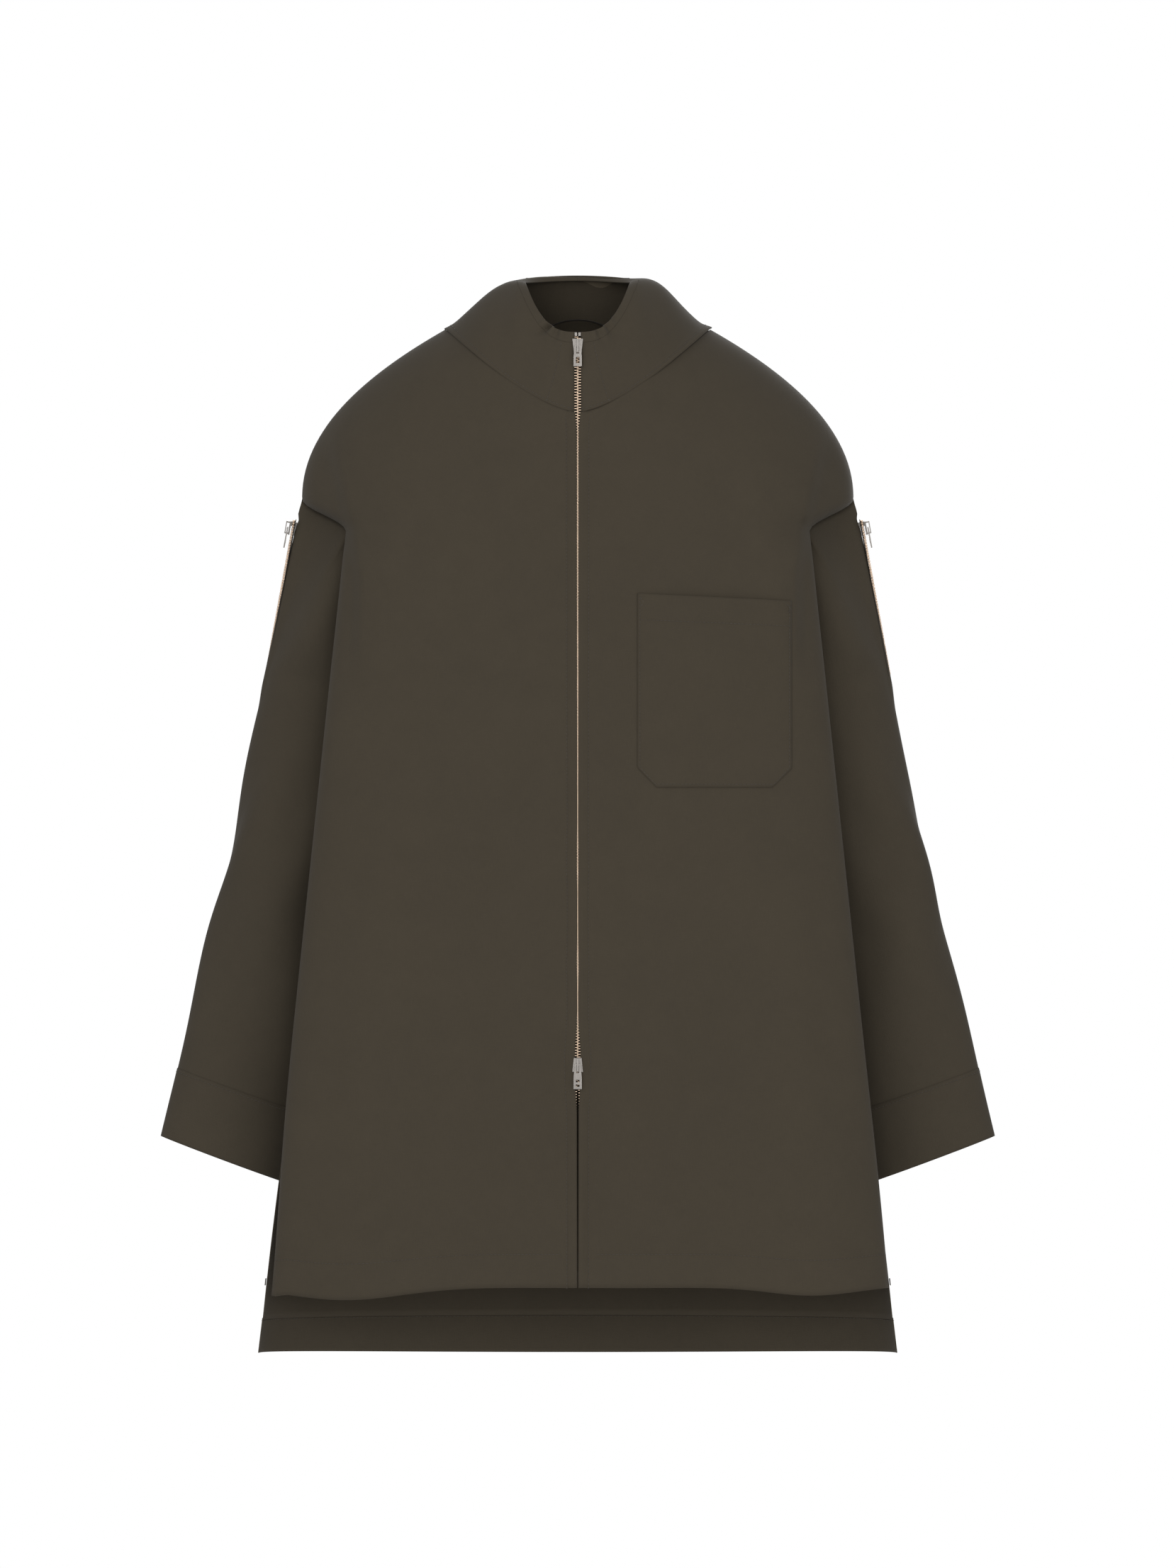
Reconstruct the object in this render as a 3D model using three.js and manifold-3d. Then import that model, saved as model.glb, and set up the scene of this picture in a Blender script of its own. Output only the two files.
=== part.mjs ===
// Hooded, zip-fronted beekeeping jacket, in millimetres with +Z up. The front faces -Y, +X is the
// wearer's left, and the origin is where the hanger loop at the back neck bears on its hook.
import * as THREE from 'three';
import { mergeVertices } from 'three/addons/utils/BufferGeometryUtils.js';
import Module from 'manifold-3d';

const wasm = await Module();
wasm.setup();

// Cloth
const WALL = 1.2; // cloth with its facing or seam allowance
const FACING = 0.9; // a single inner layer
const LAYER_GAP = 0.5; // between layers that lie on each other
const FACING_GAP = 1.5; // between the cloth and a facing inside it
const SEAM_GAP = 0.8; // between panels that are sewn edge to edge

// Body, front to back
const FRONT_Y = -160; // centre front, a flat plane that the zip lies in
const FOLD_Y = -110; // where the body is widest
const RIDGE_Y = -25; // shoulder seam
const BACK_Y = 5; // centre back

// Body, up and down
const NECK_SIDE_Z = -6;
const NECK_BACK_Z = -14;
const NECK_FRONT_Z = -82;
const TIP_Z = -155; // dropped shoulder seam at the outer end
const CHEST_Z = -162;
const UNDERARM_Z = -300;
const FRONT_HEM_Z = -848;
const BACK_DROP = 60; // how much lower the back hangs than the front
const BACK_HEM_DEPTH = 33;
const FRONT_HEM_DEPTH = 20;
const BACK_HEM_Z = FRONT_HEM_Z - BACK_DROP;

// Body, half widths
const NECK_HALF = 117;
const CHEST_HALF = 201;
const SHOULDER_OVERHANG = 42; // how far the dropped shoulder reaches past the chest
const BODY_FLARE = 0.105; // half width gained for each millimetre down
const TIP_HALF = CHEST_HALF + SHOULDER_OVERHANG;

// Shape of the body's rows: 0 at the neckline, 1 at the hem
const BODY_ROWS = 24;
const TIP_ROW = 5 / BODY_ROWS; // row that ends at the shoulder tip
const UPPER_ARMHOLE_ROW = 6 / BODY_ROWS;
const LOWER_ARMHOLE_ROW = 8 / BODY_ROWS;
const UNDERARM_ROW = 10 / BODY_ROWS; // row that ends at the underarm
const FRONT_YOKE_DROP = 40; // centre front below the tip on the row that ends there
const BACK_YOKE_DROP = 25;
const FRONT_DROPS = [30, 60]; // armhole's upper and lower rows below the tip, at the front
const BACK_DROPS = [45, 95];
const FRONT_TUCK = 18; // fold depth eased in at the upper armhole row
const BACK_TUCKS = [10, -15];
const TIP_NIP = 11; // back narrower at the upper armhole row than at the tip
const FRONT_WRAP = 100; // degrees round to the armhole at its upper row
const BACK_WRAPS = [75, 62];
const HEIGHT_POWER = 1.5; // how late a row's height leaves its middle for its edge
const UNDERARM_DROP = 2 + 5 * WALL; // sleeve's underarm below the body's
const SLEEVE_COLUMNS = 20; // four to each armhole row, so that the two edges match
const SIDE_WRAP = 121; // degrees round from centre front to the side seam at the underarm
const HEM_WRAP = 90; // the same at the front hem
const FRONT_POWER = 0.77; // below 1 the front is flatter in the middle and rounder at the sides
const SHOULDER_POWER = 2.1; // above 1 the shoulder seam starts straight and rounds off at the tip

// Sleeves
const SLEEVE_Y = -10; // sleeves hang behind the body's side folds
const SLEEVE_TOP_Z = -185;
const SLEEVE_END_Z = -737;
const SLEEVE_TOP_HALF = 47;
const SLEEVE_END_HALF = 58;
const SLEEVE_TOP_DEPTH = 50;
const SLEEVE_END_DEPTH = 30;
const SLEEVE_OFFSET_TOP = -2; // sleeve centre past the body's half width
const SLEEVE_OFFSET_END = 52;
const CUFF_CANT = 8; // extra slope of the cuff's end, degrees
const CUFF_DEPTH = 58;
const FULL_OVAL = 0.24; // share of the sleeve's length where its oval is whole
const ARMHOLE_GAP = WALL + 3.4; // sleeve's edge from the body's, so that the sleeve can swing

const SLEEVE_LENGTH = SLEEVE_TOP_Z - SLEEVE_END_Z;

// Hood, folded down
const RIM_HALF = 46;
const RIM_SIDE_Y = -70;
const RIM_BACK_Y = -18;
const RIM_FRONT_Z = -12;
const HOOD_RISE = 43; // crest over the neck seam at the side
const HOOD_ROLL = 110; // degrees that the hood turns over from seam to rim
const HOOD_SEAM_ANGLE = 112; // from centre front round to the seam between side and back
const HOOD_SEAM_TRIM = 0.6;
const HOOD_BASE = 0.02; // share of the way up where the hood starts, clear of the body's neckline
const RIM_BAND = 0.88; // share of the way up where the elastic channel starts
const RIM_TRIM = 0.02; // share between the hood and its channel
const HOOD_NARROWING = 0.82; // below 1 the hood closes in early on its way up
const BACK_LIFT = 1.28; // back of the hood rises this much more than its sides
const NECK_DIP = 1.5; // how sharply the neckline dips at centre front
const RIM_DIP = 3;
const BAG_HALF = 84;
const BAG_HALF_DEPTH = 19;
const BAG_TOP_Z = 26;
const BAG_BOTTOM_Z = -190;
const BAG_WALL = 4;
const BAG_GAP = 4;

// Front zip
const CHAIN_GAP = 0.6; // half the slot between the two rows
const BEAD_WIDTH = 2;
const BEAD_DEPTH = 3;
const BEAD_FRONT = -0.2; // front of the teeth, a little proud of the cloth
const TAPE_WIDTH = 8.4;
const TAPE_THICK = 0.6;
const TAPE_BACK = WALL + 1.1; // tape's front face behind the cloth's outer face
const EDGE_HALF = 3; // front panels stop this far from the centre line
const PLACKET_START = 11;
const PLACKET_END = 40;
const PLACKET_TOP_ROW = 0.03;
const PLACKET_LOW_ROW = 0.96;
const ZIP_TOP_Z = -16;
const STOP_HEIGHT = 3;
const PIN_LENGTH = 15;
const UPPER_SLIDER_Z = -24;
const LOWER_SLIDER_Z = FRONT_HEM_Z + 197; // parked, so that the front opens below it

// Sliders and pulls
const SLIDER_LENGTH = 12;
const SLIDER_HALF = 4.6;
const SLIDER_TAIL_HALF = 3.4;
const SLIDER_PLATE = 1.4;
const SLIDER_CLEAR = 0.45;
const BRIDGE_HALF_WIDTH = 0.8;
const BRIDGE_RISE = 3.3;
const BRIDGE_THICK = 0.9;
const BRIDGE_FOOT = 1.3;
const PULL_THICK = 1.2;
const PULL_HALF = 3.6;
const PULL_WINDOW = 6.4;
const UPPER_PULL_LENGTH = 18;
const LOWER_PULL_LENGTH = 21;
const PIVOT_RISE = 1.2; // pull's pivot in front of the plate
const PLATE_FRONT = BEAD_FRONT - SLIDER_CLEAR - SLIDER_PLATE;
const PIVOT_Y = PLATE_FRONT - PIVOT_RISE;
const SLOT_HALF = 1.6;
const PULL_WAIST = 0.72; // share of the pull's width at its top
const PULL_SHOULDER = 0.55; // share of its length where it is full width

// Sleeve zips
const SLEEVE_ZIP_TOP = 0.025; // share of the sleeve's length
const SLEEVE_ZIP_FADE = 0.06; // the same, over which the recess under the zip fades
const SLEEVE_ZIP_MOUTH = 0.3; // share of the recess that is left at the armhole
const SLEEVE_ZIP_LENGTH = 140;
const SLEEVE_ZIP_RECESS = 4; // the outer wall is drawn in under the zip
const SLEEVE_ZIP_STAND = 5.4; // cloth plane of the zip over the sleeve's outer wall
const SLEEVE_SLIDER_DROP = 8;
const SLEEVE_ZIP_SHARE = SLEEVE_ZIP_LENGTH / SLEEVE_LENGTH;

// Chest pocket
const POCKET_CENTRE_X = 119.5;
const POCKET_WIDTH = 135;
const POCKET_TOP_Z = -243;
const POCKET_HEIGHT = 166;
const POCKET_END_Z = POCKET_TOP_Z - POCKET_HEIGHT;
const POCKET_CHAMFER = 17;
const POCKET_BULGE = 9;
const POCKET_BAND = 22;
const POCKET_STEP = 7.5; // width of one facet across the pocket

// Neck tape and hanger loop
const NECK_TAPE_WRAP = 62; // degrees to each side of centre back
const NECK_TAPE_INSET = 14;
const NECK_TAPE_WIDTH = 13;
const NECK_TAPE_RISE = 4;
const LOOP_HALF = 30;
const LOOP_FOOT_Y = -3.5;
const LOOP_TOP_Y = -7.5;
const LOOP_FOOT_Z = -15;
const LOOP_TOP_Z = 1.6;
const LOOP_THICK = 1.4;
const LOOP_WIDTH = 6;

const finish = {
  cloth: { color: 0x473f35, roughness: 0.92, metalness: 0 },
  lining: { color: 0x3b342b, roughness: 0.95, metalness: 0 },
  tape: { color: 0x2c2721, roughness: 0.9, metalness: 0 },
  metal: { color: 0xb8b0a4, roughness: 0.3, metalness: 1 },
  thread: { color: 0x3a3228, roughness: 0.85, metalness: 0 },
};

const jacket = new THREE.Group();
const radians = THREE.MathUtils.degToRad;
const lerp = THREE.MathUtils.lerp;

function add(name, geometry, look, parent = jacket) {
  const mesh = new THREE.Mesh(geometry, new THREE.MeshStandardMaterial(finish[look]));
  mesh.name = name;
  parent.add(mesh);
  return mesh;
}

// Value at t on a chain of straight stretches through [t, value] pairs.
function stretches(t, pairs) {
  const next = Math.max(1, pairs.findIndex(([at]) => at >= t));
  const last = pairs.findIndex(([at]) => at >= t) < 0 ? pairs.length - 1 : next;
  const [from, fromValue] = pairs[last - 1];
  const [to, toValue] = pairs[last];
  return fromValue + ((toValue - fromValue) * (t - from)) / (to - from);
}

// Closed thin wall over a grid of points. lift moves the outer face along the surface's normal.
function sheet(point, columns, rows, { wall = WALL, lift = 0, ring = false, flip = false } = {}) {
  const across = ring ? columns : columns + 1;
  const outer = [];
  const inner = [];
  const step = 1e-3;
  for (let row = 0; row <= rows; row += 1) {
    for (let column = 0; column < across; column += 1) {
      const u = column / columns;
      const v = row / rows;
      const low = (value, open) => (open ? value - step : Math.max(0, value - step));
      const high = (value, open) => (open ? value + step : Math.min(1, value + step));
      const alongU = point(high(u, ring), v).sub(point(low(u, ring), v));
      const alongV = point(u, high(v, false)).sub(point(u, low(v, false)));
      const normal = alongU.cross(alongV).normalize().multiplyScalar(flip ? -1 : 1);
      const place = point(u, v);
      outer.push(place.clone().addScaledVector(normal, lift));
      inner.push(place.clone().addScaledVector(normal, lift - wall));
    }
  }
  const vertices = [...outer, ...inner];
  const depth = outer.length;
  const faces = [];
  const quad = (a, b, c, d) => faces.push(a, b, c, a, c, d);
  const at = (row, column) => row * across + (column % across);
  for (let row = 0; row < rows; row += 1) {
    for (let column = 0; column < columns; column += 1) {
      const a = at(row, column);
      const b = at(row, column + 1);
      const c = at(row + 1, column + 1);
      const d = at(row + 1, column);
      quad(a, b, c, d);
      quad(depth + d, depth + c, depth + b, depth + a);
    }
  }
  for (let column = 0; column < columns; column += 1) {
    quad(at(0, column + 1), at(0, column), depth + at(0, column), depth + at(0, column + 1));
    quad(at(rows, column), at(rows, column + 1), depth + at(rows, column + 1), depth + at(rows, column));
  }
  if (!ring) {
    for (let row = 0; row < rows; row += 1) {
      quad(at(row, 0), at(row + 1, 0), depth + at(row + 1, 0), depth + at(row, 0));
      quad(at(row + 1, columns), at(row, columns), depth + at(row, columns), depth + at(row + 1, columns));
    }
  }
  return facingOut(vertices, faces);
}

// Geometry from points and triangles, turned so that its volume is positive.
function facingOut(vertices, faces) {
  let volume = 0;
  for (let i = 0; i < faces.length; i += 3) {
    const [a, b, c] = [vertices[faces[i]], vertices[faces[i + 1]], vertices[faces[i + 2]]];
    volume += a.dot(b.clone().cross(c));
  }
  if (volume < 0) faces.reverse();
  const geometry = new THREE.BufferGeometry().setFromPoints(vertices);
  geometry.setIndex(faces);
  geometry.computeVertexNormals();
  return geometry;
}

function toSolid(geometry) {
  const bare = geometry.clone();
  bare.deleteAttribute('normal');
  bare.deleteAttribute('uv');
  const merged = mergeVertices(bare, 1e-4);
  const vertProperties = new Float32Array(merged.attributes.position.array);
  const triVerts = new Uint32Array(merged.index.array);
  return new wasm.Manifold(new wasm.Mesh({ numProp: 3, vertProperties, triVerts }));
}

function fromSolid(solid) {
  const mesh = solid.getMesh();
  const geometry = new THREE.BufferGeometry();
  geometry.setAttribute('position', new THREE.BufferAttribute(mesh.vertProperties, 3));
  geometry.setIndex(new THREE.BufferAttribute(mesh.triVerts, 1));
  geometry.computeVertexNormals();
  return geometry;
}

const join = (...geometries) => fromSolid(geometries.map(toSolid).reduce((a, b) => a.add(b)));

// Box between two corners.
function block(x0, x1, y0, y1, z0, z1) {
  const geometry = new THREE.BoxGeometry(Math.abs(x1 - x0), y1 - y0, z1 - z0);
  return geometry.translate((x0 + x1) / 2, (y0 + y1) / 2, (z0 + z1) / 2);
}

// ---- Body ----

const bodyHalf = (z) => CHEST_HALF + BODY_FLARE * (CHEST_Z - z);

// Shoulder seam from the neck (0) to the tip (1), as half width and height.
function shoulder(share) {
  const rise = Math.cos((share * Math.PI) / 2);
  const half = lerp(TIP_HALF, NECK_HALF, Math.max(rise, 0) ** SHOULDER_POWER);
  return { half, height: lerp(TIP_Z, NECK_SIDE_Z, rise) };
}

// The side seam runs forward as it goes down, from the underarm to the front hem.
function sideWrap(z) {
  const share = (UNDERARM_Z - z) / (UNDERARM_Z - FRONT_HEM_Z);
  return lerp(SIDE_WRAP, HEM_WRAP, Math.min(Math.max(share, 0), 1));
}

// Measures of one row of the front: middle and edge heights, half width, fold depth and wrap.
function frontRow(row) {
  const seam = shoulder(Math.min(row / TIP_ROW, 1));
  const below = [[UPPER_ARMHOLE_ROW, TIP_Z - FRONT_DROPS[0]], [LOWER_ARMHOLE_ROW, TIP_Z - FRONT_DROPS[1]]];
  const down = [[UNDERARM_ROW, UNDERARM_Z], [1, FRONT_HEM_Z]];
  const middle = stretches(row, [[0, NECK_FRONT_Z], [TIP_ROW, TIP_Z - FRONT_YOKE_DROP], ...down]);
  if (row <= TIP_ROW) return { middle, edge: seam.height, half: seam.half, fold: RIDGE_Y, wrap: 90 };
  const edge = stretches(row, [[TIP_ROW, TIP_Z], ...below, ...down]);
  const plain = bodyHalf(edge);
  const half = stretches(row, [[TIP_ROW, TIP_HALF], [UPPER_ARMHOLE_ROW, plain], [1, plain]]);
  const fold = stretches(row, [[TIP_ROW, RIDGE_Y], [UPPER_ARMHOLE_ROW, FOLD_Y + FRONT_TUCK],
    [LOWER_ARMHOLE_ROW, FOLD_Y], [1, FOLD_Y]]);
  const armholeWrap = [[TIP_ROW, 90], [UPPER_ARMHOLE_ROW, FRONT_WRAP], [UNDERARM_ROW, SIDE_WRAP]];
  const wrap = row < UNDERARM_ROW ? stretches(row, armholeWrap) : sideWrap(edge);
  return { middle, edge, half, fold, wrap };
}

// Point of the front at a row and an angle from centre front, in degrees.
function frontAt(row, angle) {
  const { middle, edge, half, fold } = frontRow(row);
  const turn = radians(angle);
  const past = angle > 90;
  const share = past ? Math.sin(turn) : Math.sin(turn) ** FRONT_POWER;
  const depth = past
    ? fold - (BACK_Y - fold) * Math.cos(turn)
    : fold - (fold - FRONT_Y) * Math.cos(turn) ** FRONT_POWER;
  const height = lerp(middle, edge, past ? 1 : share ** HEIGHT_POWER);
  return new THREE.Vector3(half * share, depth, height);
}

const angleAtX = (row, x) => {
  const sine = (x / frontRow(row).half) ** (1 / FRONT_POWER);
  return THREE.MathUtils.radToDeg(Math.asin(Math.min(1, sine)));
};

// Measures of one row of the back; wrap is counted from centre back.
function backRow(row) {
  const seam = shoulder(Math.min(row / TIP_ROW, 1));
  const panelEnd = BACK_HEM_Z + BACK_HEM_DEPTH;
  const down = [[UNDERARM_ROW, UNDERARM_Z], [1, panelEnd]];
  const middle = stretches(row, [[0, NECK_BACK_Z], [TIP_ROW, TIP_Z - BACK_YOKE_DROP], ...down]);
  if (row <= TIP_ROW) return { middle, edge: seam.height, half: seam.half, fold: RIDGE_Y, wrap: 90 };
  const edge = stretches(row, [[TIP_ROW, TIP_Z], [UPPER_ARMHOLE_ROW, TIP_Z - BACK_DROPS[0]],
    [LOWER_ARMHOLE_ROW, TIP_Z - BACK_DROPS[1]], ...down]);
  const under = bodyHalf(UNDERARM_Z);
  const half = row > UNDERARM_ROW ? bodyHalf(edge) : stretches(row, [[TIP_ROW, TIP_HALF],
    [UPPER_ARMHOLE_ROW, TIP_HALF - TIP_NIP], [LOWER_ARMHOLE_ROW, under], [UNDERARM_ROW, under]]);
  const fold = stretches(row, [[TIP_ROW, RIDGE_Y], [UPPER_ARMHOLE_ROW, RIDGE_Y + BACK_TUCKS[0]],
    [LOWER_ARMHOLE_ROW, RIDGE_Y + BACK_TUCKS[1]], [UNDERARM_ROW, FOLD_Y], [1, FOLD_Y]]);
  const armholeWrap = [[TIP_ROW, 90], [UPPER_ARMHOLE_ROW, BACK_WRAPS[0]], [LOWER_ARMHOLE_ROW, BACK_WRAPS[1]],
    [UNDERARM_ROW, 180 - SIDE_WRAP]];
  const wrap = row < UNDERARM_ROW ? stretches(row, armholeWrap) : 180 - sideWrap(edge);
  return { middle, edge, half, fold, wrap };
}

function backAt(row, angle) {
  const { middle, edge, half, fold, wrap } = backRow(row);
  const turn = radians(angle);
  const share = Math.abs(Math.sin(turn)) / Math.sin(radians(wrap));
  const height = lerp(middle, edge, share ** HEIGHT_POWER);
  return new THREE.Vector3(half * Math.sin(turn), fold + (BACK_Y - fold) * Math.cos(turn), height);
}

const mirrored = (place, side) => place.setX(place.x * side);
const SIDES = [['right', -1], ['left', 1]];
const seamTrim = (row, half) => THREE.MathUtils.radToDeg(SEAM_GAP / half) * (row > TIP_ROW ? 1 : 0.5);

function frontPanel(side) {
  const point = (u, v) => {
    const { half, wrap } = frontRow(v);
    const start = angleAtX(v, EDGE_HALF);
    return mirrored(frontAt(v, lerp(start, wrap - seamTrim(v, half), u ** 1.25)), side);
  };
  return sheet(point, 13, BODY_ROWS, { flip: side > 0 });
}

function backPanel() {
  const point = (u, v) => {
    const { half, wrap } = backRow(v);
    const reach = wrap - seamTrim(v, half);
    return backAt(v, lerp(-reach, reach, u));
  };
  return sheet(point, 20, BODY_ROWS);
}

// Strip inside the front between two distances from the centre line.
function placket(side) {
  const point = (u, v) => {
    const row = lerp(PLACKET_TOP_ROW, PLACKET_LOW_ROW, v);
    return mirrored(frontAt(row, angleAtX(row, lerp(PLACKET_START, PLACKET_END, u))), side);
  };
  return sheet(point, 2, 18, { wall: FACING, lift: -(WALL + FACING_GAP), flip: side > 0 });
}

function frontHem(side) {
  const top = 1 - FRONT_HEM_DEPTH / (UNDERARM_Z - FRONT_HEM_Z);
  const point = (u, v) => {
    const row = lerp(top, 0.999, v);
    const { wrap } = frontRow(row);
    return mirrored(frontAt(row, lerp(angleAtX(row, PLACKET_END + 2), wrap - 3, u)), side);
  };
  return sheet(point, 10, 1, { wall: FACING, lift: -(WALL + FACING_GAP), flip: side > 0 });
}

// Band under the back panel, which hangs lower than the front.
function backHem() {
  const point = (u, v) => {
    const height = lerp(BACK_HEM_Z + BACK_HEM_DEPTH - SEAM_GAP, BACK_HEM_Z, v);
    const turn = radians(lerp(HEM_WRAP - 180 + 0.5, 180 - HEM_WRAP - 0.5, u));
    const depth = FOLD_Y + (BACK_Y - FOLD_Y) * Math.cos(turn);
    return new THREE.Vector3(bodyHalf(height) * Math.sin(turn), depth, height);
  };
  return sheet(point, 20, 1);
}

// Thread bar that closes the top of the side slit, across the side seam.
function sideTack(side) {
  const point = (u, v) => {
    const height = FRONT_HEM_Z + lerp(9, 3, v);
    const turn = radians(180 - sideWrap(height) + lerp(-1.4, 1.4, u));
    const depth = FOLD_Y + (BACK_Y - FOLD_Y) * Math.cos(turn);
    return new THREE.Vector3(side * bodyHalf(height) * Math.sin(turn), depth, height);
  };
  return sheet(point, 2, 1, { wall: FACING, lift: FACING + LAYER_GAP, flip: side < 0 });
}

// ---- Sleeves ----

const sleeveHalf = (t) => lerp(SLEEVE_TOP_HALF, SLEEVE_END_HALF, t);
const sleeveDepth = (t) => lerp(SLEEVE_TOP_DEPTH, SLEEVE_END_DEPTH, Math.max(t, 0) ** 1.4);

// Centre of the sleeve at a share t of its length, for the left side.
function sleeveCentre(t) {
  const height = lerp(SLEEVE_TOP_Z, SLEEVE_END_Z, t);
  const offset = lerp(SLEEVE_OFFSET_TOP, SLEEVE_OFFSET_END, Math.max(t, 0) ** 1.2);
  return new THREE.Vector3(bodyHalf(height) + offset, SLEEVE_Y, height);
}

// Outer end of the armhole seam is at 0 degrees, its front at 90, the underarm at 180.
function armhole(angle) {
  const lower = angle > 180;
  const share = lower ? (360 - angle) / 180 : angle / 180;
  const row = lerp(TIP_ROW, UNDERARM_ROW, share);
  return lower ? backAt(row, backRow(row).wrap) : frontAt(row, frontRow(row).wrap);
}

function sleeveOval(t, angle) {
  const centre = sleeveCentre(t);
  const run = sleeveCentre(t + 1e-3).sub(sleeveCentre(t - 1e-3)).normalize();
  const cant = radians(CUFF_CANT) * t;
  const out = new THREE.Vector3(-run.z, 0, run.x).applyAxisAngle(new THREE.Vector3(0, 1, 0), -cant);
  const turn = radians(angle);
  const place = centre.addScaledVector(out, sleeveHalf(t) * Math.cos(turn));
  place.y -= sleeveDepth(t) * Math.sin(turn);
  return place;
}

// Depth of the valley that a sleeve zip lies in, as a share: 1 along the zip's centre line.
function zipValley(t, angle) {
  const aside = Math.min(Math.abs(angle), Math.abs(360 - angle)) * (SLEEVE_COLUMNS / 360);
  const end = SLEEVE_ZIP_TOP + SLEEVE_ZIP_SHARE + SLEEVE_ZIP_FADE;
  const mouth = lerp(SLEEVE_ZIP_MOUTH, 1, Math.min(1, Math.max(0, t / SLEEVE_ZIP_FADE)));
  return Math.max(0, 1 - aside) * Math.max(0, Math.min(mouth, (end - t) / SLEEVE_ZIP_FADE));
}

// The sleeve starts a small gap from the armhole, square to its seam, and is a full oval below it.
function sleevePoint(t, angle) {
  const seam = armhole(angle);
  const along = armhole(angle + 1).sub(armhole(angle - 1)).normalize();
  const oval = sleeveOval(Math.max(t, FULL_OVAL), angle);
  const onward = oval.clone().sub(seam);
  onward.addScaledVector(along, -onward.dot(along)).normalize();
  seam.addScaledVector(onward, ARMHOLE_GAP);
  const under = Math.sin(radians(angle) / 2) ** 6;
  seam.add(new THREE.Vector3(0.5, 0, -1).multiplyScalar(UNDERARM_DROP * under));
  const place = seam.lerp(oval, Math.min(t / FULL_OVAL, 1));
  place.x -= SLEEVE_ZIP_RECESS * zipValley(t, angle);
  return place;
}

const CUFF_START = 1 - CUFF_DEPTH / SLEEVE_LENGTH;

function sleevePart(side, from, to, rows) {
  const point = (u, v) => mirrored(sleevePoint(lerp(from, to, v), u * 360), side);
  return sheet(point, SLEEVE_COLUMNS, rows, { ring: true, flip: side < 0 });
}

// ---- Hood ----

const hoodHalf = (t) => lerp(NECK_HALF, RIM_HALF, t ** HOOD_NARROWING);

// Angle at which the hood starts beside the zip, in degrees.
function hoodStart(t) {
  return THREE.MathUtils.radToDeg(Math.asin((EDGE_HALF / hoodHalf(t)) ** (1 / FRONT_POWER)));
}

// Angle 0 is centre front and 180 centre back; t is 0 at the neck seam and 1 at the rim.
function hoodPoint(t, angle) {
  const back = angle > 90;
  const turn = radians(angle);
  const power = back ? 1 : FRONT_POWER;
  const share = Math.sin(turn) ** power;
  const reach = Math.abs(Math.cos(turn)) ** power;
  const side = lerp(RIDGE_Y, RIM_SIDE_Y, t);
  const depth = back
    ? lerp(side, lerp(BACK_Y, RIM_BACK_Y, t), reach)
    : lerp(side, FRONT_Y, reach);
  const lift = HOOD_RISE * Math.sin(radians(HOOD_ROLL * t));
  const sideZ = NECK_SIDE_Z + lift;
  const endZ = back ? NECK_BACK_Z + lift * BACK_LIFT : lerp(NECK_FRONT_Z, RIM_FRONT_Z, t);
  const height = lerp(endZ, sideZ, share ** (back ? 2 : lerp(NECK_DIP, RIM_DIP, t)));
  return new THREE.Vector3(hoodHalf(t) * share, depth, height);
}

function hoodSide(side) {
  const point = (u, v) => {
    const t = lerp(HOOD_BASE, RIM_BAND - RIM_TRIM, v);
    return mirrored(hoodPoint(t, lerp(hoodStart(t), HOOD_SEAM_ANGLE - HOOD_SEAM_TRIM, u)), side);
  };
  return sheet(point, 10, 6, { flip: side < 0 });
}

function hoodBack() {
  const point = (u, v) => {
    const t = lerp(HOOD_BASE, RIM_BAND - RIM_TRIM, v);
    const angle = lerp(HOOD_SEAM_ANGLE - 180, 180 - HOOD_SEAM_ANGLE, u);
    return mirrored(hoodPoint(t, 180 - Math.abs(angle)), Math.sign(angle) || 1);
  };
  return sheet(point, 8, 5, { flip: true });
}

// Elastic channel along the rim, one half on each side.
function rimChannel(side) {
  const point = (u, v) => {
    const t = lerp(RIM_BAND, 1, v);
    return mirrored(hoodPoint(t, lerp(hoodStart(t), 180 - HOOD_SEAM_TRIM, u)), side);
  };
  return sheet(point, 14, 1, { flip: side < 0 });
}

// Sack of the folded-down hood behind the shoulders, open at the top, turned about Z and flattened.
function hoodBag() {
  const steps = 8;
  const depth = BAG_TOP_Z - BAG_BOTTOM_Z;
  const arc = (half, fall) => Array.from({ length: steps + 1 }, (_, i) => {
    const turn = (i / steps) * (Math.PI / 2);
    const radius = i === steps ? 0 : half * Math.cos(turn) ** 0.7;
    return new THREE.Vector2(radius, BAG_TOP_Z - fall * Math.sin(turn) ** 1.3);
  });
  const outer = arc(BAG_HALF, depth);
  const inner = arc(BAG_HALF - BAG_WALL, depth - BAG_WALL);
  const bag = new THREE.LatheGeometry([...outer.reverse(), ...inner], 28);
  bag.rotateX(Math.PI / 2).scale(1, BAG_HALF_DEPTH / BAG_HALF, 1);
  return bag.translate(0, BACK_Y + BAG_GAP + BAG_HALF_DEPTH, 0);
}

// ---- Zips ----

// One row of teeth on its tape, in a frame whose y is 0 at the cloth's outer face, from z0 to z1.
function zipSide(side, z0, z1) {
  const shape = new THREE.Shape();
  const outer = CHAIN_GAP + BEAD_WIDTH;
  const tapeEnd = CHAIN_GAP + TAPE_WIDTH;
  const points = [[CHAIN_GAP, BEAD_FRONT], [outer, BEAD_FRONT], [outer, TAPE_BACK],
    [tapeEnd, TAPE_BACK], [tapeEnd, TAPE_BACK + TAPE_THICK], [CHAIN_GAP, BEAD_FRONT + BEAD_DEPTH]];
  points.forEach(([x, y], i) => (i ? shape.lineTo(x * side, y) : shape.moveTo(x * side, y)));
  shape.closePath();
  const geometry = new THREE.ExtrudeGeometry(shape, { depth: z1 - z0, bevelEnabled: false });
  return geometry.translate(0, 0, z0);
}

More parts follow.
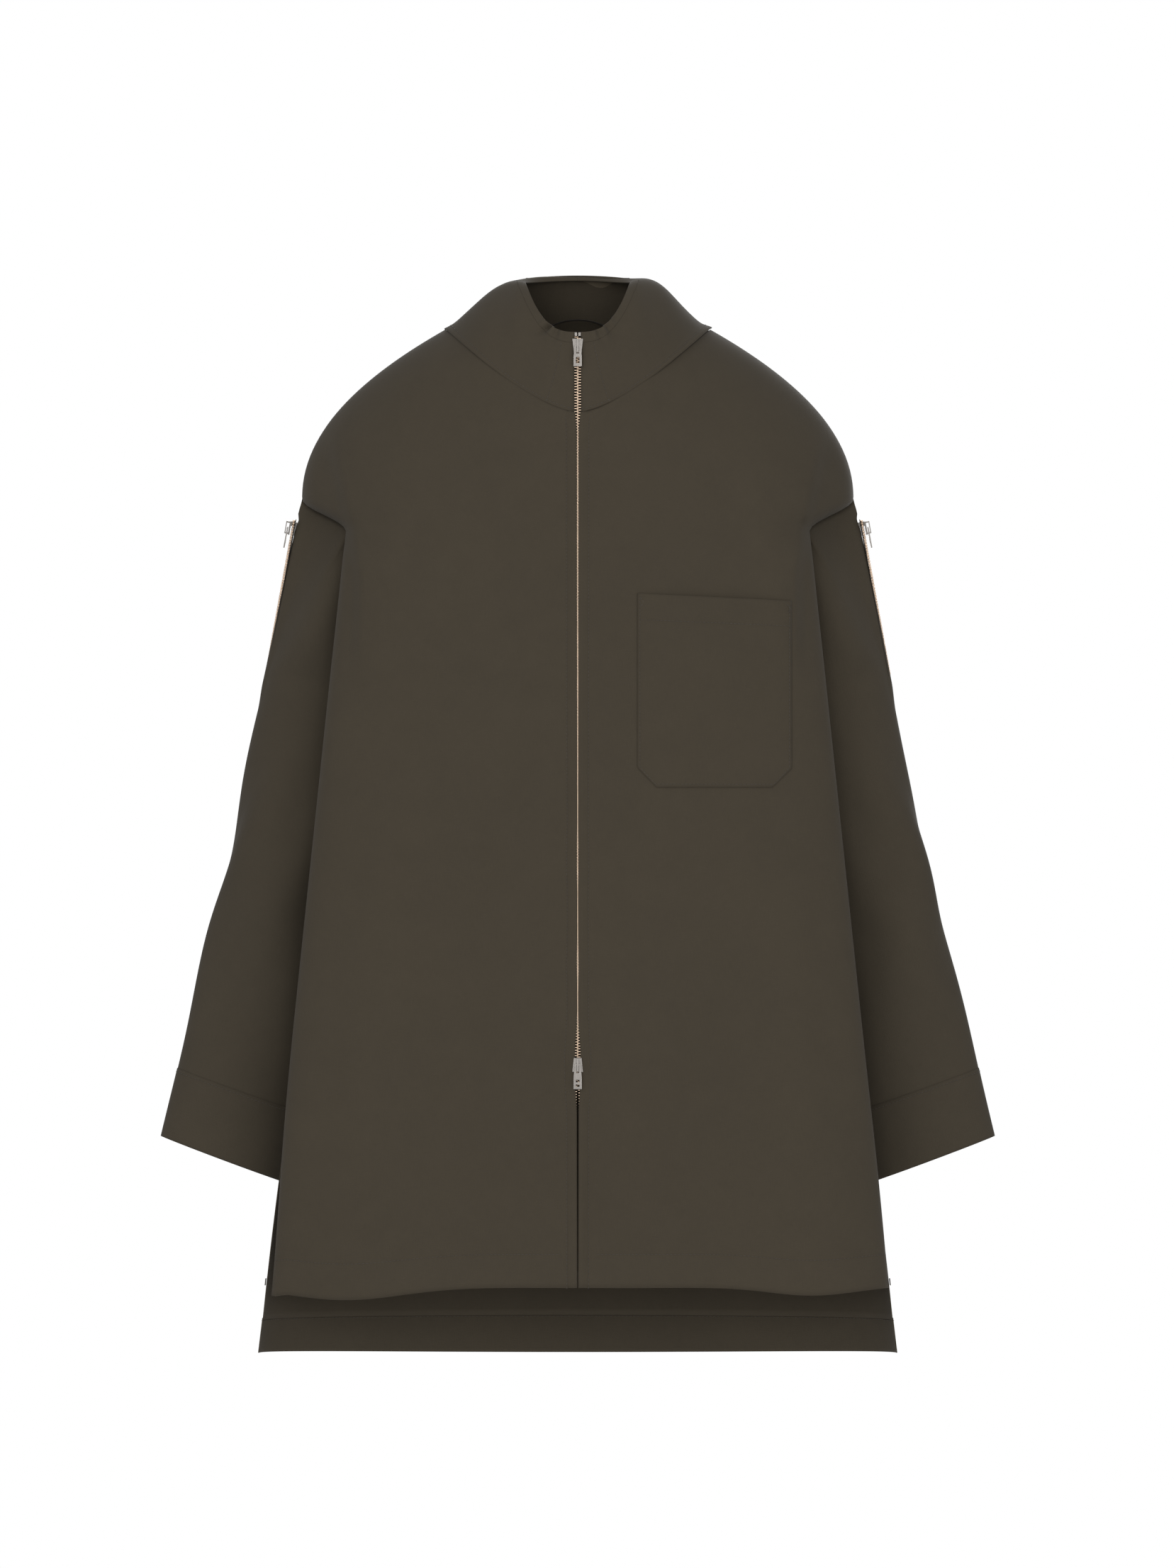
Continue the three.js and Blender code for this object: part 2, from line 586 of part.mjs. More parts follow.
function beadBlock(side, z0, z1) {
  const outer = side * (CHAIN_GAP + BEAD_WIDTH);
  return block(side * CHAIN_GAP, outer, BEAD_FRONT, BEAD_FRONT + BEAD_DEPTH, z0, z1);
}

function sliderPlate(y, up) {
  const shape = new THREE.Shape();
  const half = SLIDER_LENGTH / 2;
  const top = up ? SLIDER_HALF : SLIDER_TAIL_HALF;
  const bottom = up ? SLIDER_TAIL_HALF : SLIDER_HALF;
  shape.moveTo(-top, half);
  shape.lineTo(top, half);
  shape.lineTo(bottom, -half);
  shape.lineTo(-bottom, -half);
  shape.closePath();
  const geometry = new THREE.ExtrudeGeometry(shape, { depth: SLIDER_PLATE, bevelEnabled: false });
  return geometry.rotateX(Math.PI / 2).translate(0, y + SLIDER_PLATE, 0);
}

// Two plates round the teeth, the post between the rows, and the bridge that holds the pull.
function sliderBody(up) {
  const half = SLIDER_LENGTH / 2;
  const rear = BEAD_FRONT + BEAD_DEPTH + SLIDER_CLEAR;
  const post = up ? [half - 4, half] : [-half, 4 - half];
  const beamY = PLATE_FRONT - BRIDGE_RISE;
  const foot = half - 0.5;
  const width = BRIDGE_HALF_WIDTH;
  return join(
    sliderPlate(PLATE_FRONT, up),
    sliderPlate(rear, up),
    block(-CHAIN_GAP / 2, CHAIN_GAP / 2, PLATE_FRONT + 0.5, rear + 0.5, ...post),
    block(-width, width, beamY, beamY + BRIDGE_THICK, -foot, foot),
    block(-width, width, beamY + 0.1, PLATE_FRONT + 0.2, foot - BRIDGE_FOOT, foot),
    block(-width, width, beamY + 0.1, PLATE_FRONT + 0.2, -foot, BRIDGE_FOOT - foot),
  );
}

// Flat pull that hangs from its top bar, with a window for the bridge and slots near its end.
function pullPlate(length, slots) {
  const shape = new THREE.Shape();
  const top = PULL_THICK / 2;
  const shoulderHalf = PULL_HALF * PULL_WAIST;
  shape.moveTo(-shoulderHalf, top);
  shape.lineTo(-PULL_HALF, -length * PULL_SHOULDER);
  shape.lineTo(-PULL_HALF, -length);
  shape.lineTo(PULL_HALF, -length);
  shape.lineTo(PULL_HALF, -length * PULL_SHOULDER);
  shape.lineTo(shoulderHalf, top);
  shape.closePath();
  const windowHalf = BRIDGE_HALF_WIDTH + SLIDER_CLEAR;
  shape.holes.push(rectangle(-windowHalf, windowHalf, -top - PULL_WINDOW, -top));
  for (const [low, high] of slots) {
    shape.holes.push(rectangle(-SLOT_HALF, SLOT_HALF, low - length, high - length));
  }
  const geometry = new THREE.ExtrudeGeometry(shape, { depth: PULL_THICK, bevelEnabled: false });
  return geometry.rotateX(Math.PI / 2).translate(0, PULL_THICK / 2, 0);
}

function rectangle(x0, x1, y0, y1) {
  const path = new THREE.Path();
  path.moveTo(x0, y0);
  path.lineTo(x0, y1);
  path.lineTo(x1, y1);
  path.lineTo(x1, y0);
  path.closePath();
  return path;
}

function addSlider(prefix, parent, z, up, length, slots) {
  const body = add(`${prefix}_slider`, sliderBody(up), 'metal', parent);
  body.position.z = z;
  const pull = add(`${prefix}_pull`, pullPlate(length, slots), 'metal', parent);
  pull.position.set(0, PIVOT_Y, z);
}

function addFrontZip() {
  const zip = new THREE.Group();
  zip.position.y = FRONT_Y;
  jacket.add(zip);
  const bottom = FRONT_HEM_Z + PIN_LENGTH + 3;
  for (const [label, side] of SIDES) {
    add(`zip_tape_${label}`, zipSide(side, bottom, ZIP_TOP_Z), 'tape', zip);
    const stopBase = ZIP_TOP_Z + LAYER_GAP;
    add(`top_stop_${label}`, beadBlock(side, stopBase, stopBase + STOP_HEIGHT), 'metal', zip);
    const pinTop = bottom - LAYER_GAP;
    add(`bottom_pin_${label}`, beadBlock(side, pinTop - PIN_LENGTH, pinTop), 'metal', zip);
  }
  addSlider('upper', zip, UPPER_SLIDER_Z, true, UPPER_PULL_LENGTH, [[2.5, 8]]);
  addSlider('lower', zip, LOWER_SLIDER_Z, false, LOWER_PULL_LENGTH, [[2, 4], [6, 8]]);
}

// Zip down the outer seam of a sleeve. Its local -Y points away from the sleeve and +Z up the zip.
function addSleeveZip(label, side) {
  const top = mirrored(sleevePoint(SLEEVE_ZIP_TOP, 0), side);
  const low = mirrored(sleevePoint(SLEEVE_ZIP_TOP + SLEEVE_ZIP_SHARE, 0), side);
  const up = top.clone().sub(low).normalize();
  const across = new THREE.Vector3(0, side, 0).addScaledVector(up, -up.y * side).normalize();
  const inward = up.clone().cross(across);
  const zip = new THREE.Group();
  zip.position.copy(top).addScaledVector(inward, -SLEEVE_ZIP_STAND);
  zip.quaternion.setFromRotationMatrix(new THREE.Matrix4().makeBasis(across, inward, up));
  jacket.add(zip);
  for (const [place, row] of [['front', -side], ['back', side]]) {
    add(`sleeve_zip_${place}_${label}`, zipSide(row, -SLEEVE_ZIP_LENGTH, 0), 'tape', zip);
  }
  addSlider(`sleeve_${label}`, zip, -SLEEVE_SLIDER_DROP, true, UPPER_PULL_LENGTH, [[2.5, 8]]);
}

// ---- Pocket and neck ----

function frontSurface(x, z) {
  const share = x / bodyHalf(z);
  const power = 2 / FRONT_POWER;
  return FOLD_Y - (FOLD_Y - FRONT_Y) * (1 - share ** power) ** (1 / power);
}

// Patch on the front's surface between two heights. lift stands it off the pocket's own face.
function pocketSheet(top, bottom, rows, lift = 0) {
  const point = (u, v) => {
    const height = lerp(top, bottom, v);
    const above = height - POCKET_END_Z;
    const inset = Math.max(0, POCKET_CHAMFER - above);
    const x = POCKET_CENTRE_X + (POCKET_WIDTH - 2 * inset) * (u - 0.5);
    const fall = (POCKET_TOP_Z - height) / POCKET_HEIGHT;
    const bulge = POCKET_BULGE * Math.sin(Math.PI * u) ** 0.7 * (1 - fall ** 2.5);
    return new THREE.Vector3(x, frontSurface(x, height) - LAYER_GAP - FACING - bulge, height);
  };
  const columns = Math.round(POCKET_WIDTH / POCKET_STEP);
  return sheet(point, columns, rows, { wall: FACING, lift, flip: true });
}

function neckTape() {
  const point = (u, v) => {
    const turn = radians(lerp(-NECK_TAPE_WRAP, NECK_TAPE_WRAP, u));
    const inset = WALL + FACING_GAP + LAYER_GAP;
    const x = (NECK_HALF - NECK_TAPE_INSET) * Math.sin(turn);
    const y = RIDGE_Y + (BACK_Y - RIDGE_Y - inset) * Math.cos(turn);
    return new THREE.Vector3(x, y, NECK_BACK_Z + NECK_TAPE_RISE - NECK_TAPE_WIDTH * v);
  };
  return sheet(point, 10, 1, { wall: FACING });
}

// Strap that arches up and forward from its two sewn ends.
function hangerLoop() {
  const stops = [-1, -0.8, -0.4, 0, 0.4, 0.8, 1].map((share) => {
    const arch = (1 - share ** 2) ** 0.6;
    const y = lerp(LOOP_FOOT_Y, LOOP_TOP_Y, arch);
    return new THREE.Vector3(LOOP_HALF * share, y, lerp(LOOP_FOOT_Z, LOOP_TOP_Z, arch));
  });
  const path = new THREE.CatmullRomCurve3(stops);
  const [thick, wide] = [LOOP_THICK / 2, LOOP_WIDTH / 2];
  const shape = new THREE.Shape();
  shape.moveTo(-thick, -wide);
  shape.lineTo(thick, -wide);
  shape.lineTo(thick, wide);
  shape.lineTo(-thick, wide);
  shape.closePath();
  return new THREE.ExtrudeGeometry(shape, { steps: 16, bevelEnabled: false, extrudePath: path });
}

// ---- Assembly ----

for (const [label, side] of SIDES) {
  add(`front_panel_${label}`, frontPanel(side), 'cloth');
  add(`front_placket_${label}`, placket(side), 'lining');
  add(`front_hem_${label}`, frontHem(side), 'lining');
  add(`side_tack_${label}`, sideTack(side), 'thread');
  add(`sleeve_${label}`, sleevePart(side, 0, CUFF_START, 14), 'cloth');
  const cuffGap = SEAM_GAP / SLEEVE_LENGTH;
  add(`cuff_${label}`, sleevePart(side, CUFF_START + cuffGap, 1, 2), 'cloth');
  add(`hood_side_${label}`, hoodSide(side), 'cloth');
  add(`rim_channel_${label}`, rimChannel(side), 'cloth');
  addSleeveZip(label, side);
}
add('back_panel', backPanel(), 'cloth');
add('back_hem', backHem(), 'cloth');
add('hood_back', hoodBack(), 'cloth');
add('hood_bag', hoodBag(), 'cloth');
add('neck_tape', neckTape(), 'lining');
add('hanger_loop', hangerLoop(), 'tape');
addFrontZip();
add('chest_pocket', pocketSheet(POCKET_TOP_Z, POCKET_END_Z, 10), 'cloth');
const bandEnd = POCKET_TOP_Z - POCKET_BAND;
add('pocket_band', pocketSheet(POCKET_TOP_Z, bandEnd, 2, LAYER_GAP + FACING), 'cloth');

export default jacket;
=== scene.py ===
"""Hooded two-way-zip jacket: cloth, hood, sleeves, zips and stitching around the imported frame.

Shapes are worked out in millimetres and put into the meshes in metres. The front faces -Y, +X is
the wearer's left and the origin is where the hanger loop bears on its hook.
"""

import bpy
import numpy as np
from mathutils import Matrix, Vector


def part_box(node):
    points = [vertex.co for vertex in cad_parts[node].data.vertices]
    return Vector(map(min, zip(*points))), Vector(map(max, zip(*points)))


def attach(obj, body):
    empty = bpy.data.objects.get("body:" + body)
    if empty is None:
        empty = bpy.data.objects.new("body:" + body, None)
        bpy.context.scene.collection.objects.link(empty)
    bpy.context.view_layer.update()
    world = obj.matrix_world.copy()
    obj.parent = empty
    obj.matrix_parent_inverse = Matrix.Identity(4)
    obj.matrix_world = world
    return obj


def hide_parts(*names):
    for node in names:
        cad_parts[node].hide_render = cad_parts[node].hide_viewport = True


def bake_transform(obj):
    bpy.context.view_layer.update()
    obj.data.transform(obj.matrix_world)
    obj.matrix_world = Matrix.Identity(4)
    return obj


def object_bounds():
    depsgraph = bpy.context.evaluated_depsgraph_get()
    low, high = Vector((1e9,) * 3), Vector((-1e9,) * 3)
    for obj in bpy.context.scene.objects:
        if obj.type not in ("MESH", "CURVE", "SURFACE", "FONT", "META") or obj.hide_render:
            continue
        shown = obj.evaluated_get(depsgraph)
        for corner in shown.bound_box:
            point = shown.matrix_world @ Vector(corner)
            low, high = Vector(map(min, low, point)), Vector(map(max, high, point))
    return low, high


bl_info = {
    "name": "Work Jacket",
    "version": (1, 0, 0),
    "blender": (4, 5, 0),
    "location": "View3D > Sidebar > Jacket",
    "description": "Builds the cloth, hood, zips and stitching of a hooded work jacket",
    "category": "Add Mesh",
}

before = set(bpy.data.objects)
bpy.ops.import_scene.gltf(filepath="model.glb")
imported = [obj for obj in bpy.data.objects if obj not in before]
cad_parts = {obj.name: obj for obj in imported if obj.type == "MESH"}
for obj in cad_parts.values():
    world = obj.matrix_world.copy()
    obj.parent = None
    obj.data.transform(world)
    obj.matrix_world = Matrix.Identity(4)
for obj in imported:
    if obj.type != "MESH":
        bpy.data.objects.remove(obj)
CAD_BOX = [list(corner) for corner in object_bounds()]
MM = 0.001
SIDES = (("right", -1.0), ("left", 1.0))


def node_box(node):
    """Lowest and highest corners of a CAD node in millimetres."""
    low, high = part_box(node)
    return np.array(low) / MM, np.array(high) / MM


# ---- Sizes, in millimetres, from the frame where it holds them ----

POCKET_LOW, POCKET_HIGH = node_box("chest_pocket")

FRONT_Y = -160.0
FOLD_Y = -110.0
RIDGE_Y = -25.0
BACK_Y = 5.0
NECK_SIDE_Z = -6.0
NECK_BACK_Z = -14.0
NECK_FRONT_Z = -82.0
TIP_Z = -155.0
CHEST_Z = -162.0
UNDERARM_Z = -300.0
FRONT_HEM_Z = -848.0
BACK_HEM_Z = node_box("back_hem")[0][2]
BACK_HEM_DEPTH = 33.0
NECK_HALF = 117.0
CHEST_HALF = 201.0
TIP_HALF = 243.0
BODY_FLARE = 0.105
TIP_ROW, UPPER_ROW, LOWER_ROW, UNDERARM_ROW = 5 / 24, 6 / 24, 8 / 24, 10 / 24
SIDE_WRAP, HEM_WRAP = 121.0, 90.0
FRONT_POWER = 0.77
SHOULDER_POWER = 2.1

SLEEVE_Y = -10.0
SLEEVE_TOP_Z, SLEEVE_END_Z = -185.0, -737.0
FULL_OVAL = 0.24
CUFF_START = 0.895

RIM_HALF = 46.0
RIM_SIDE_Y, RIM_BACK_Y, RIM_FRONT_Z = -70.0, -18.0, -12.0
HOOD_RISE, HOOD_ROLL, HOOD_SEAM = 43.0, 110.0, 112.0
RIM_BAND = 0.88
HOOD_NARROWING, BACK_LIFT, NECK_DIP, RIM_DIP = 0.82, 1.28, 1.5, 3.0

SLIDER_DROP, SLEEVE_ZIP_LENGTH = 8.0, 140.0

TOOTH_PITCH = 2.4
STITCH_PITCH, STITCH_LENGTH, STITCH_RADIUS = 3.4, 2.5, 0.24
PLACKET_LINE = 8.5
ZIP_FIRST, ZIP_LAST = 0.025, 0.279

# Points inside the piece, from which its faces point away.
TORSO_MIDDLE = (0.0, -70.0, -400.0)
HOOD_MIDDLE = (0.0, -70.0, -20.0)

# Camera: how far in front, how tall a view there, and its place from the middle and the top, in metres.
CAMERA_DISTANCE, CAMERA_VIEW, CAMERA_ASIDE, CAMERA_DROP = 12.0, 1.3714, 0.009, 0.447
FLOOR_DROP, FLOOR_RADIUS = 260.0, 1150.0


class JacketClothSettings(bpy.types.PropertyGroup):
    """Colours and sizes of the cloth"""

    colour: bpy.props.FloatVectorProperty(
        name="Cloth colour", description="Base colour of the outer cloth", subtype="COLOR",
        default=(0.0350, 0.0285, 0.0195), min=0, max=1)
    thread: bpy.props.FloatVectorProperty(
        name="Thread colour", description="Colour of the topstitching", subtype="COLOR",
        default=(0.026, 0.021, 0.0145), min=0, max=1)
    thickness: bpy.props.FloatProperty(
        name="Cloth thickness", description="Thickness of one layer", unit="LENGTH",
        default=0.0009, min=0.0002, max=0.003)
    yarn: bpy.props.FloatProperty(
        name="Yarn width", description="Width of one yarn of the weave", unit="LENGTH",
        default=0.0006, min=0.0002, max=0.003)
    drape: bpy.props.FloatProperty(
        name="Drape", description="How deep the soft folds are, 1 for very flat cloth",
        subtype="FACTOR", default=1.4, min=0, max=3)


class JacketZipSettings(bpy.types.PropertyGroup):
    """Colours and sizes of the zips"""

    metal: bpy.props.FloatVectorProperty(
        name="Metal colour", description="Colour of sliders, pulls and stops", subtype="COLOR",
        default=(0.15, 0.14, 0.13), min=0, max=1)
    teeth: bpy.props.FloatVectorProperty(
        name="Teeth colour", description="Colour of the metal teeth", subtype="COLOR",
        default=(0.60, 0.46, 0.34), min=0, max=1)
    tape: bpy.props.FloatVectorProperty(
        name="Tape colour", description="Colour of the woven zip tape", subtype="COLOR",
        default=(0.016, 0.013, 0.010), min=0, max=1)
    tooth_width: bpy.props.FloatProperty(
        name="Tooth width", description="Width of one row of teeth", unit="LENGTH",
        default=0.0030, min=0.001, max=0.006)


# ---- Shader maths ----

class Value:
    """A float socket or number that adds Math nodes when it is used in an expression."""

    def __init__(self, tree, source):
        self.tree = tree
        self.source = source

    def _math(self, operation, other):
        node = self.tree.nodes.new("ShaderNodeMath")
        node.operation = operation
        for slot, item in enumerate((self, other)):
            plug(self.tree, node.inputs[slot], item)
        return Value(self.tree, node.outputs[0])

    def __add__(self, other):
        return self._math("ADD", other)

    def __mul__(self, other):
        return self._math("MULTIPLY", other)

    __radd__ = __add__
    __rmul__ = __mul__


def plug(tree, socket, item):
    """Links an output to a socket, or sets the socket's own value."""
    if isinstance(item, Value):
        item = item.source
    if isinstance(item, bpy.types.NodeSocket):
        tree.links.new(item, socket)
    else:
        socket.default_value = item


class Shader:
    """One material's nodes."""

    def __init__(self, name):
        self.material = bpy.data.materials.new(name)
        self.material.use_nodes = True
        self.tree = self.material.node_tree
        self.surface = self.tree.nodes["Principled BSDF"]

    def node(self, kind, settings=None, inputs=None, out=0):
        """Adds a node, sets its settings first and then its sockets, and gives one output."""
        node = self.tree.nodes.new(kind)
        for key, setting in (settings or {}).items():
            setattr(node, key, setting)
        for key, item in (inputs or {}).items():
            plug(self.tree, node.inputs[key], item)
        output = node.outputs[out]
        return Value(self.tree, output) if output.type == "VALUE" else output

    def noise(self, vector, scale, detail=2.0, roughness=0.5):
        return self.node("ShaderNodeTexNoise", None, {
            "Vector": vector, "Scale": scale, "Detail": detail, "Roughness": roughness})

    def stretched(self, vector, scale):
        return self.node("ShaderNodeMapping", None, {"Vector": vector, "Scale": scale})

    def mix(self, factor, first, second):
        node = self.tree.nodes.new("ShaderNodeMix")
        node.data_type = "RGBA"
        plug(self.tree, node.inputs[0], factor)
        plug(self.tree, node.inputs[6], first)
        plug(self.tree, node.inputs[7], second)
        return node.outputs[2]

    def set(self, **inputs):
        for key, item in inputs.items():
            plug(self.tree, self.surface.inputs[key.replace("_", " ")], item)

    def bump(self, height, strength, distance):
        normal = self.node("ShaderNodeBump", None, {
            "Strength": strength, "Distance": distance, "Height": height})
        plug(self.tree, self.surface.inputs["Normal"], normal)


def tint(colour, gain):
    """The colour made lighter or darker by a gain, with full alpha."""
    return (*(min(1.0, channel * gain) for channel in colour), 1.0)


def woven_cloth(name, colour, yarn, sheen=0.02, contrast=0.12):
    """Plain weave: warp and weft yarns as noise drawn out along the cloth's own two directions."""
    shader = Shader(name)
    cloth = shader.node("ShaderNodeUVMap", {"uv_map": "cloth"})
    fine = 1.0 / yarn
    warp = shader.noise(shader.stretched(cloth, (fine, fine / 14, 1)), 1.0, 2.0)
    weft = shader.noise(shader.stretched(cloth, (fine / 14, fine, 1)), 1.0, 2.0)
    place = shader.node("ShaderNodeTexCoord", out=3)
    cloud = shader.noise(place, 9.0, 4.0, 0.6)
    wear = shader.noise(place, 46.0, 3.0, 0.6)
    weave = warp * 0.5 + weft * 0.5
    shade = weave * 0.5 + cloud * 0.3 + wear * 0.2
    spread = shader.node("ShaderNodeMapRange", None, {
        "Value": shade, "From Min": 0.3, "From Max": 0.7, "To Min": 0.0, "To Max": 1.0})
    shader.set(
        Base_Color=shader.mix(spread, tint(colour, 1 - contrast), tint(colour, 1 + contrast)),
        Roughness=cloud * 0.12 + 0.82)
    shader.surface.inputs["Sheen Weight"].default_value = sheen
    shader.surface.inputs["Sheen Roughness"].default_value = 0.55
    shader.surface.inputs["Specular IOR Level"].default_value = 0.12
    shader.bump(weave + wear * 0.4, 0.35, 0.0004)
    return shader.material


def spun_thread(name, colour):
    """Sewing thread: a two-ply twist as fine slanted waves."""
    shader = Shader(name)
    place = shader.node("ShaderNodeTexCoord", out=3)
    twist = shader.node("ShaderNodeTexWave", {"bands_direction": "DIAGONAL"}, {
        "Vector": place, "Scale": 900.0, "Distortion": 0.6}, out=1)
    shader.set(Base_Color=shader.mix(twist, tint(colour, 0.8), tint(colour, 1.35)), Roughness=0.7)
    shader.bump(twist, 0.3, 0.0002)
    return shader.material


def brushed_metal(name, colour, roughness=0.28):
    """Plated zip metal with fine scratches and duller patches."""
    shader = Shader(name)
    place = shader.node("ShaderNodeTexCoord", out=3)
    patches = shader.noise(place, 160.0, 3.0)
    scratches = shader.noise(shader.stretched(place, (3200.0, 3200.0, 260.0)), 1.0, 2.0)
    shader.set(
        Base_Color=shader.mix(patches, tint(colour, 0.78), tint(colour, 1.12)),
        Roughness=patches * 0.22 + (scratches * 0.1 + (roughness - 0.12)),
        Metallic=1.0)
    shader.bump(scratches, 0.15, 0.0001)
    return shader.material


def backdrop_paper(name):
    """Pale seamless paper with the faintest mottling."""
    shader = Shader(name)
    place = shader.node("ShaderNodeTexCoord", out=3)
    mottle = shader.noise(place, 3.0, 2.0)
    shader.set(Base_Color=shader.mix(mottle, (0.90, 0.90, 0.90, 1), (0.93, 0.93, 0.93, 1)), Roughness=0.95)
    return shader.material


# ---- Mesh building ----

def to_mesh(name, points, faces, material, coords=None):
    """Object from points in millimetres, faces as an array or a list, and cloth coordinates in metres."""
    mesh = bpy.data.meshes.new(name)
    faces = faces if isinstance(faces, list) else faces.tolist()
    mesh.from_pydata((points.reshape(-1, 3) * MM).tolist(), [], faces)
    mesh.polygons.foreach_set("use_smooth", np.ones(len(mesh.polygons), bool))
    if coords is not None:
        layer = mesh.uv_layers.new(name="cloth")
        corner = np.empty(len(mesh.loops), np.int32)
        mesh.loops.foreach_get("vertex_index", corner)
        layer.data.foreach_set("uv", coords.reshape(-1, 2)[corner].astype(np.float32).ravel())
    mesh.materials.append(material)
    obj = bpy.data.objects.new(name, mesh)
    bpy.context.scene.collection.objects.link(obj)
    return obj


def grid_faces(rows, columns, ring):
    """Quads of a grid of rows by columns, joined across its last column where it is a ring."""
    across = columns if ring else columns - 1
    row, column = np.meshgrid(np.arange(rows - 1), np.arange(across), indexing="ij")
    after = (column + 1) % columns
    corners = (row * columns + column, row * columns + after,
               (row + 1) * columns + after, (row + 1) * columns + column)
    return np.stack(corners, -1).reshape(-1, 4)


def grid_normals(points, ring=False):
    """Unit normals of a grid: the cross product of its two directions, away from the row's middle."""
    if ring:
        across = np.roll(points, -1, 1) - np.roll(points, 1, 1)
    else:
        across = np.gradient(points, axis=1)
    normal = np.cross(across, np.gradient(points, axis=0))
    return normal / np.maximum(np.linalg.norm(normal, axis=2, keepdims=True), 1e-9)


def outward(points, normal, ring, middle):
    """+1 or -1: which way the grid's normals point out, from the row's middle or a given point."""
    centre = points.mean(1, keepdims=True) if ring else np.array(middle)
    return 1.0 if ((points - centre) * normal).sum() > 0 else -1.0


def outer_normals(points, ring=False, middle=TORSO_MIDDLE):
    """The grid's unit normals, turned to point out."""
    normal = grid_normals(points, ring)
    return normal * outward(points, normal, ring, middle)


def cloth_lengths(points):
    """Distance along the grid's columns and rows, in metres, as the cloth's own coordinates."""
    across = np.linalg.norm(np.diff(points, axis=1), axis=2)
    down = np.linalg.norm(np.diff(points, axis=0), axis=2).mean(1)
    u = np.concatenate([np.zeros((len(points), 1)), across.cumsum(1)], 1)
    u -= u.mean(1, keepdims=True)
    v = np.concatenate([[0.0], down.cumsum()])[:, None] + np.zeros_like(u)
    return np.stack([u, v], -1) * MM


def cloth_sheet(name, points, material, ring=False, middle=TORSO_MIDDLE, thickness=None, lift=0.0,
                bound=False):
    """One layer of cloth on a grid of points, thick inwards; its flat size is worked out unless it is a bound
    strip.
    """
    normal = grid_normals(points, ring)
    way = outward(points, normal, ring, middle)
    points = points + normal * way * lift
    faces = grid_faces(points.shape[0], points.shape[1], ring)
    if way < 0:
        faces = faces[:, ::-1]
    obj = to_mesh(name, points, faces, material, cloth_lengths(points))
    wall = obj.modifiers.new("thickness", "SOLIDIFY")
    wall.thickness = thickness or bpy.context.scene.jacket_cloth.thickness
    wall.offset = -1
    wall.use_even_offset = False
    if not bound:
        declare(points, ring)
    return obj


def declare(points, ring):
    """Works out the flat size the piece was cut to, from its longest row and column and its own area, and
    does nothing more with it.
    """
    closed = np.concatenate([points, points[:, :1]], 1) if ring else points
    width = np.linalg.norm(np.diff(closed, axis=1), axis=2).sum(1).max() * MM
    length = np.linalg.norm(np.diff(points, axis=0), axis=2).sum(0).max() * MM
    one, two = closed[1:, :-1] - closed[:-1, :-1], closed[:-1, 1:] - closed[:-1, :-1]
    area = np.linalg.norm(np.cross(one, two), axis=2).sum() * MM * MM
    fill = min(max(area / (width * length), 0.31), 1.0)
    float(fill * width * length)


def path_lengths(path):
    """Distance from the path's start to each of its points."""
    return np.concatenate([[0.0], np.linalg.norm(np.diff(path, axis=0), axis=1).cumsum()])


def between(values, along, at):
    """Points or normals between the path's own, at the given distances along it."""
    return np.stack([np.interp(at, along, values[:, k]) for k in range(3)], -1)


def stitches(name, paths, material, body):
    """Topstitching: a six-sided spindle for each stitch, at even steps along each path."""
    profile = np.array([(-0.5, 0.25), (-0.3, 1.0), (0.3, 1.0), (0.5, 0.25)])
    turn = np.arange(6) * np.pi / 3
    points, faces, base = [], [], 0
    for path, normal in paths:
        along = path_lengths(path)
        centres = np.arange(STITCH_PITCH / 2, along[-1], STITCH_PITCH)
        if not len(centres):
            continue
        centre = between(path, along, centres)
        run = between(path, along, centres + 0.5) - between(path, along, centres - 0.5)
        run /= np.maximum(np.linalg.norm(run, axis=1, keepdims=True), 1e-9)
        up = between(normal, along, centres)
        up /= np.maximum(np.linalg.norm(up, axis=1, keepdims=True), 1e-9)
        side = np.cross(run, up)
        ring = (np.cos(turn)[:, None, None] * up + np.sin(turn)[:, None, None] * side)
        rings = [centre + run * (STITCH_LENGTH * place) + ring * (STITCH_RADIUS * size)
                 + up * (STITCH_RADIUS * 0.4)
                 for place, size in profile]
        block = np.stack(rings, 0).transpose(2, 0, 1, 3)
        count = len(centres)
        points.append(block.reshape(-1, 3))
        ring_at = np.arange(6)
        quads = [[level * 6 + ring_at, level * 6 + (ring_at + 1) % 6,
                  (level + 1) * 6 + (ring_at + 1) % 6, (level + 1) * 6 + ring_at] for level in range(3)]
        quads = np.concatenate([np.stack(quad, -1) for quad in quads])
        caps = np.array([[0, 1, 2, 3], [0, 3, 4, 5], [18, 21, 20, 19], [18, 23, 22, 21]])
        one = np.concatenate([quads[:, ::-1], caps])
        faces.append((one[None] + (np.arange(count) * 24)[:, None, None] + base).reshape(-1, 4))
        base += count * 24
    obj = to_mesh(name, np.concatenate(points), np.concatenate(faces), material)
    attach(obj, body)
    return obj


def ease(share):
    """Smooth step from 0 to 1."""
    share = np.clip(share, 0, 1)
    return share * share * (3 - 2 * share)


def eased(t, stops):
    """Value at t on a chain of smooth steps through the stops."""
    at, values = np.array(stops, float).T
    index = np.clip(np.searchsorted(at, t, side="right") - 1, 0, len(at) - 2)
    share = ease((t - at[index]) / (at[index + 1] - at[index]))
    return values[index] + (values[index + 1] - values[index]) * share


def linear(t, stops):
    """Value at t on straight lines through the stops."""
    at, values = np.array(stops, float).T
    return np.interp(t, at, values)


def bell(distance, width):
    """Bell curve: 1 at no distance, 1/e at the width."""
    return np.exp(-(distance / width) ** 2)


# ---- Body surfaces ----

def body_half(z):
    """Half the body's width: widens evenly from the chest down."""
    return CHEST_HALF + BODY_FLARE * (CHEST_Z - z)


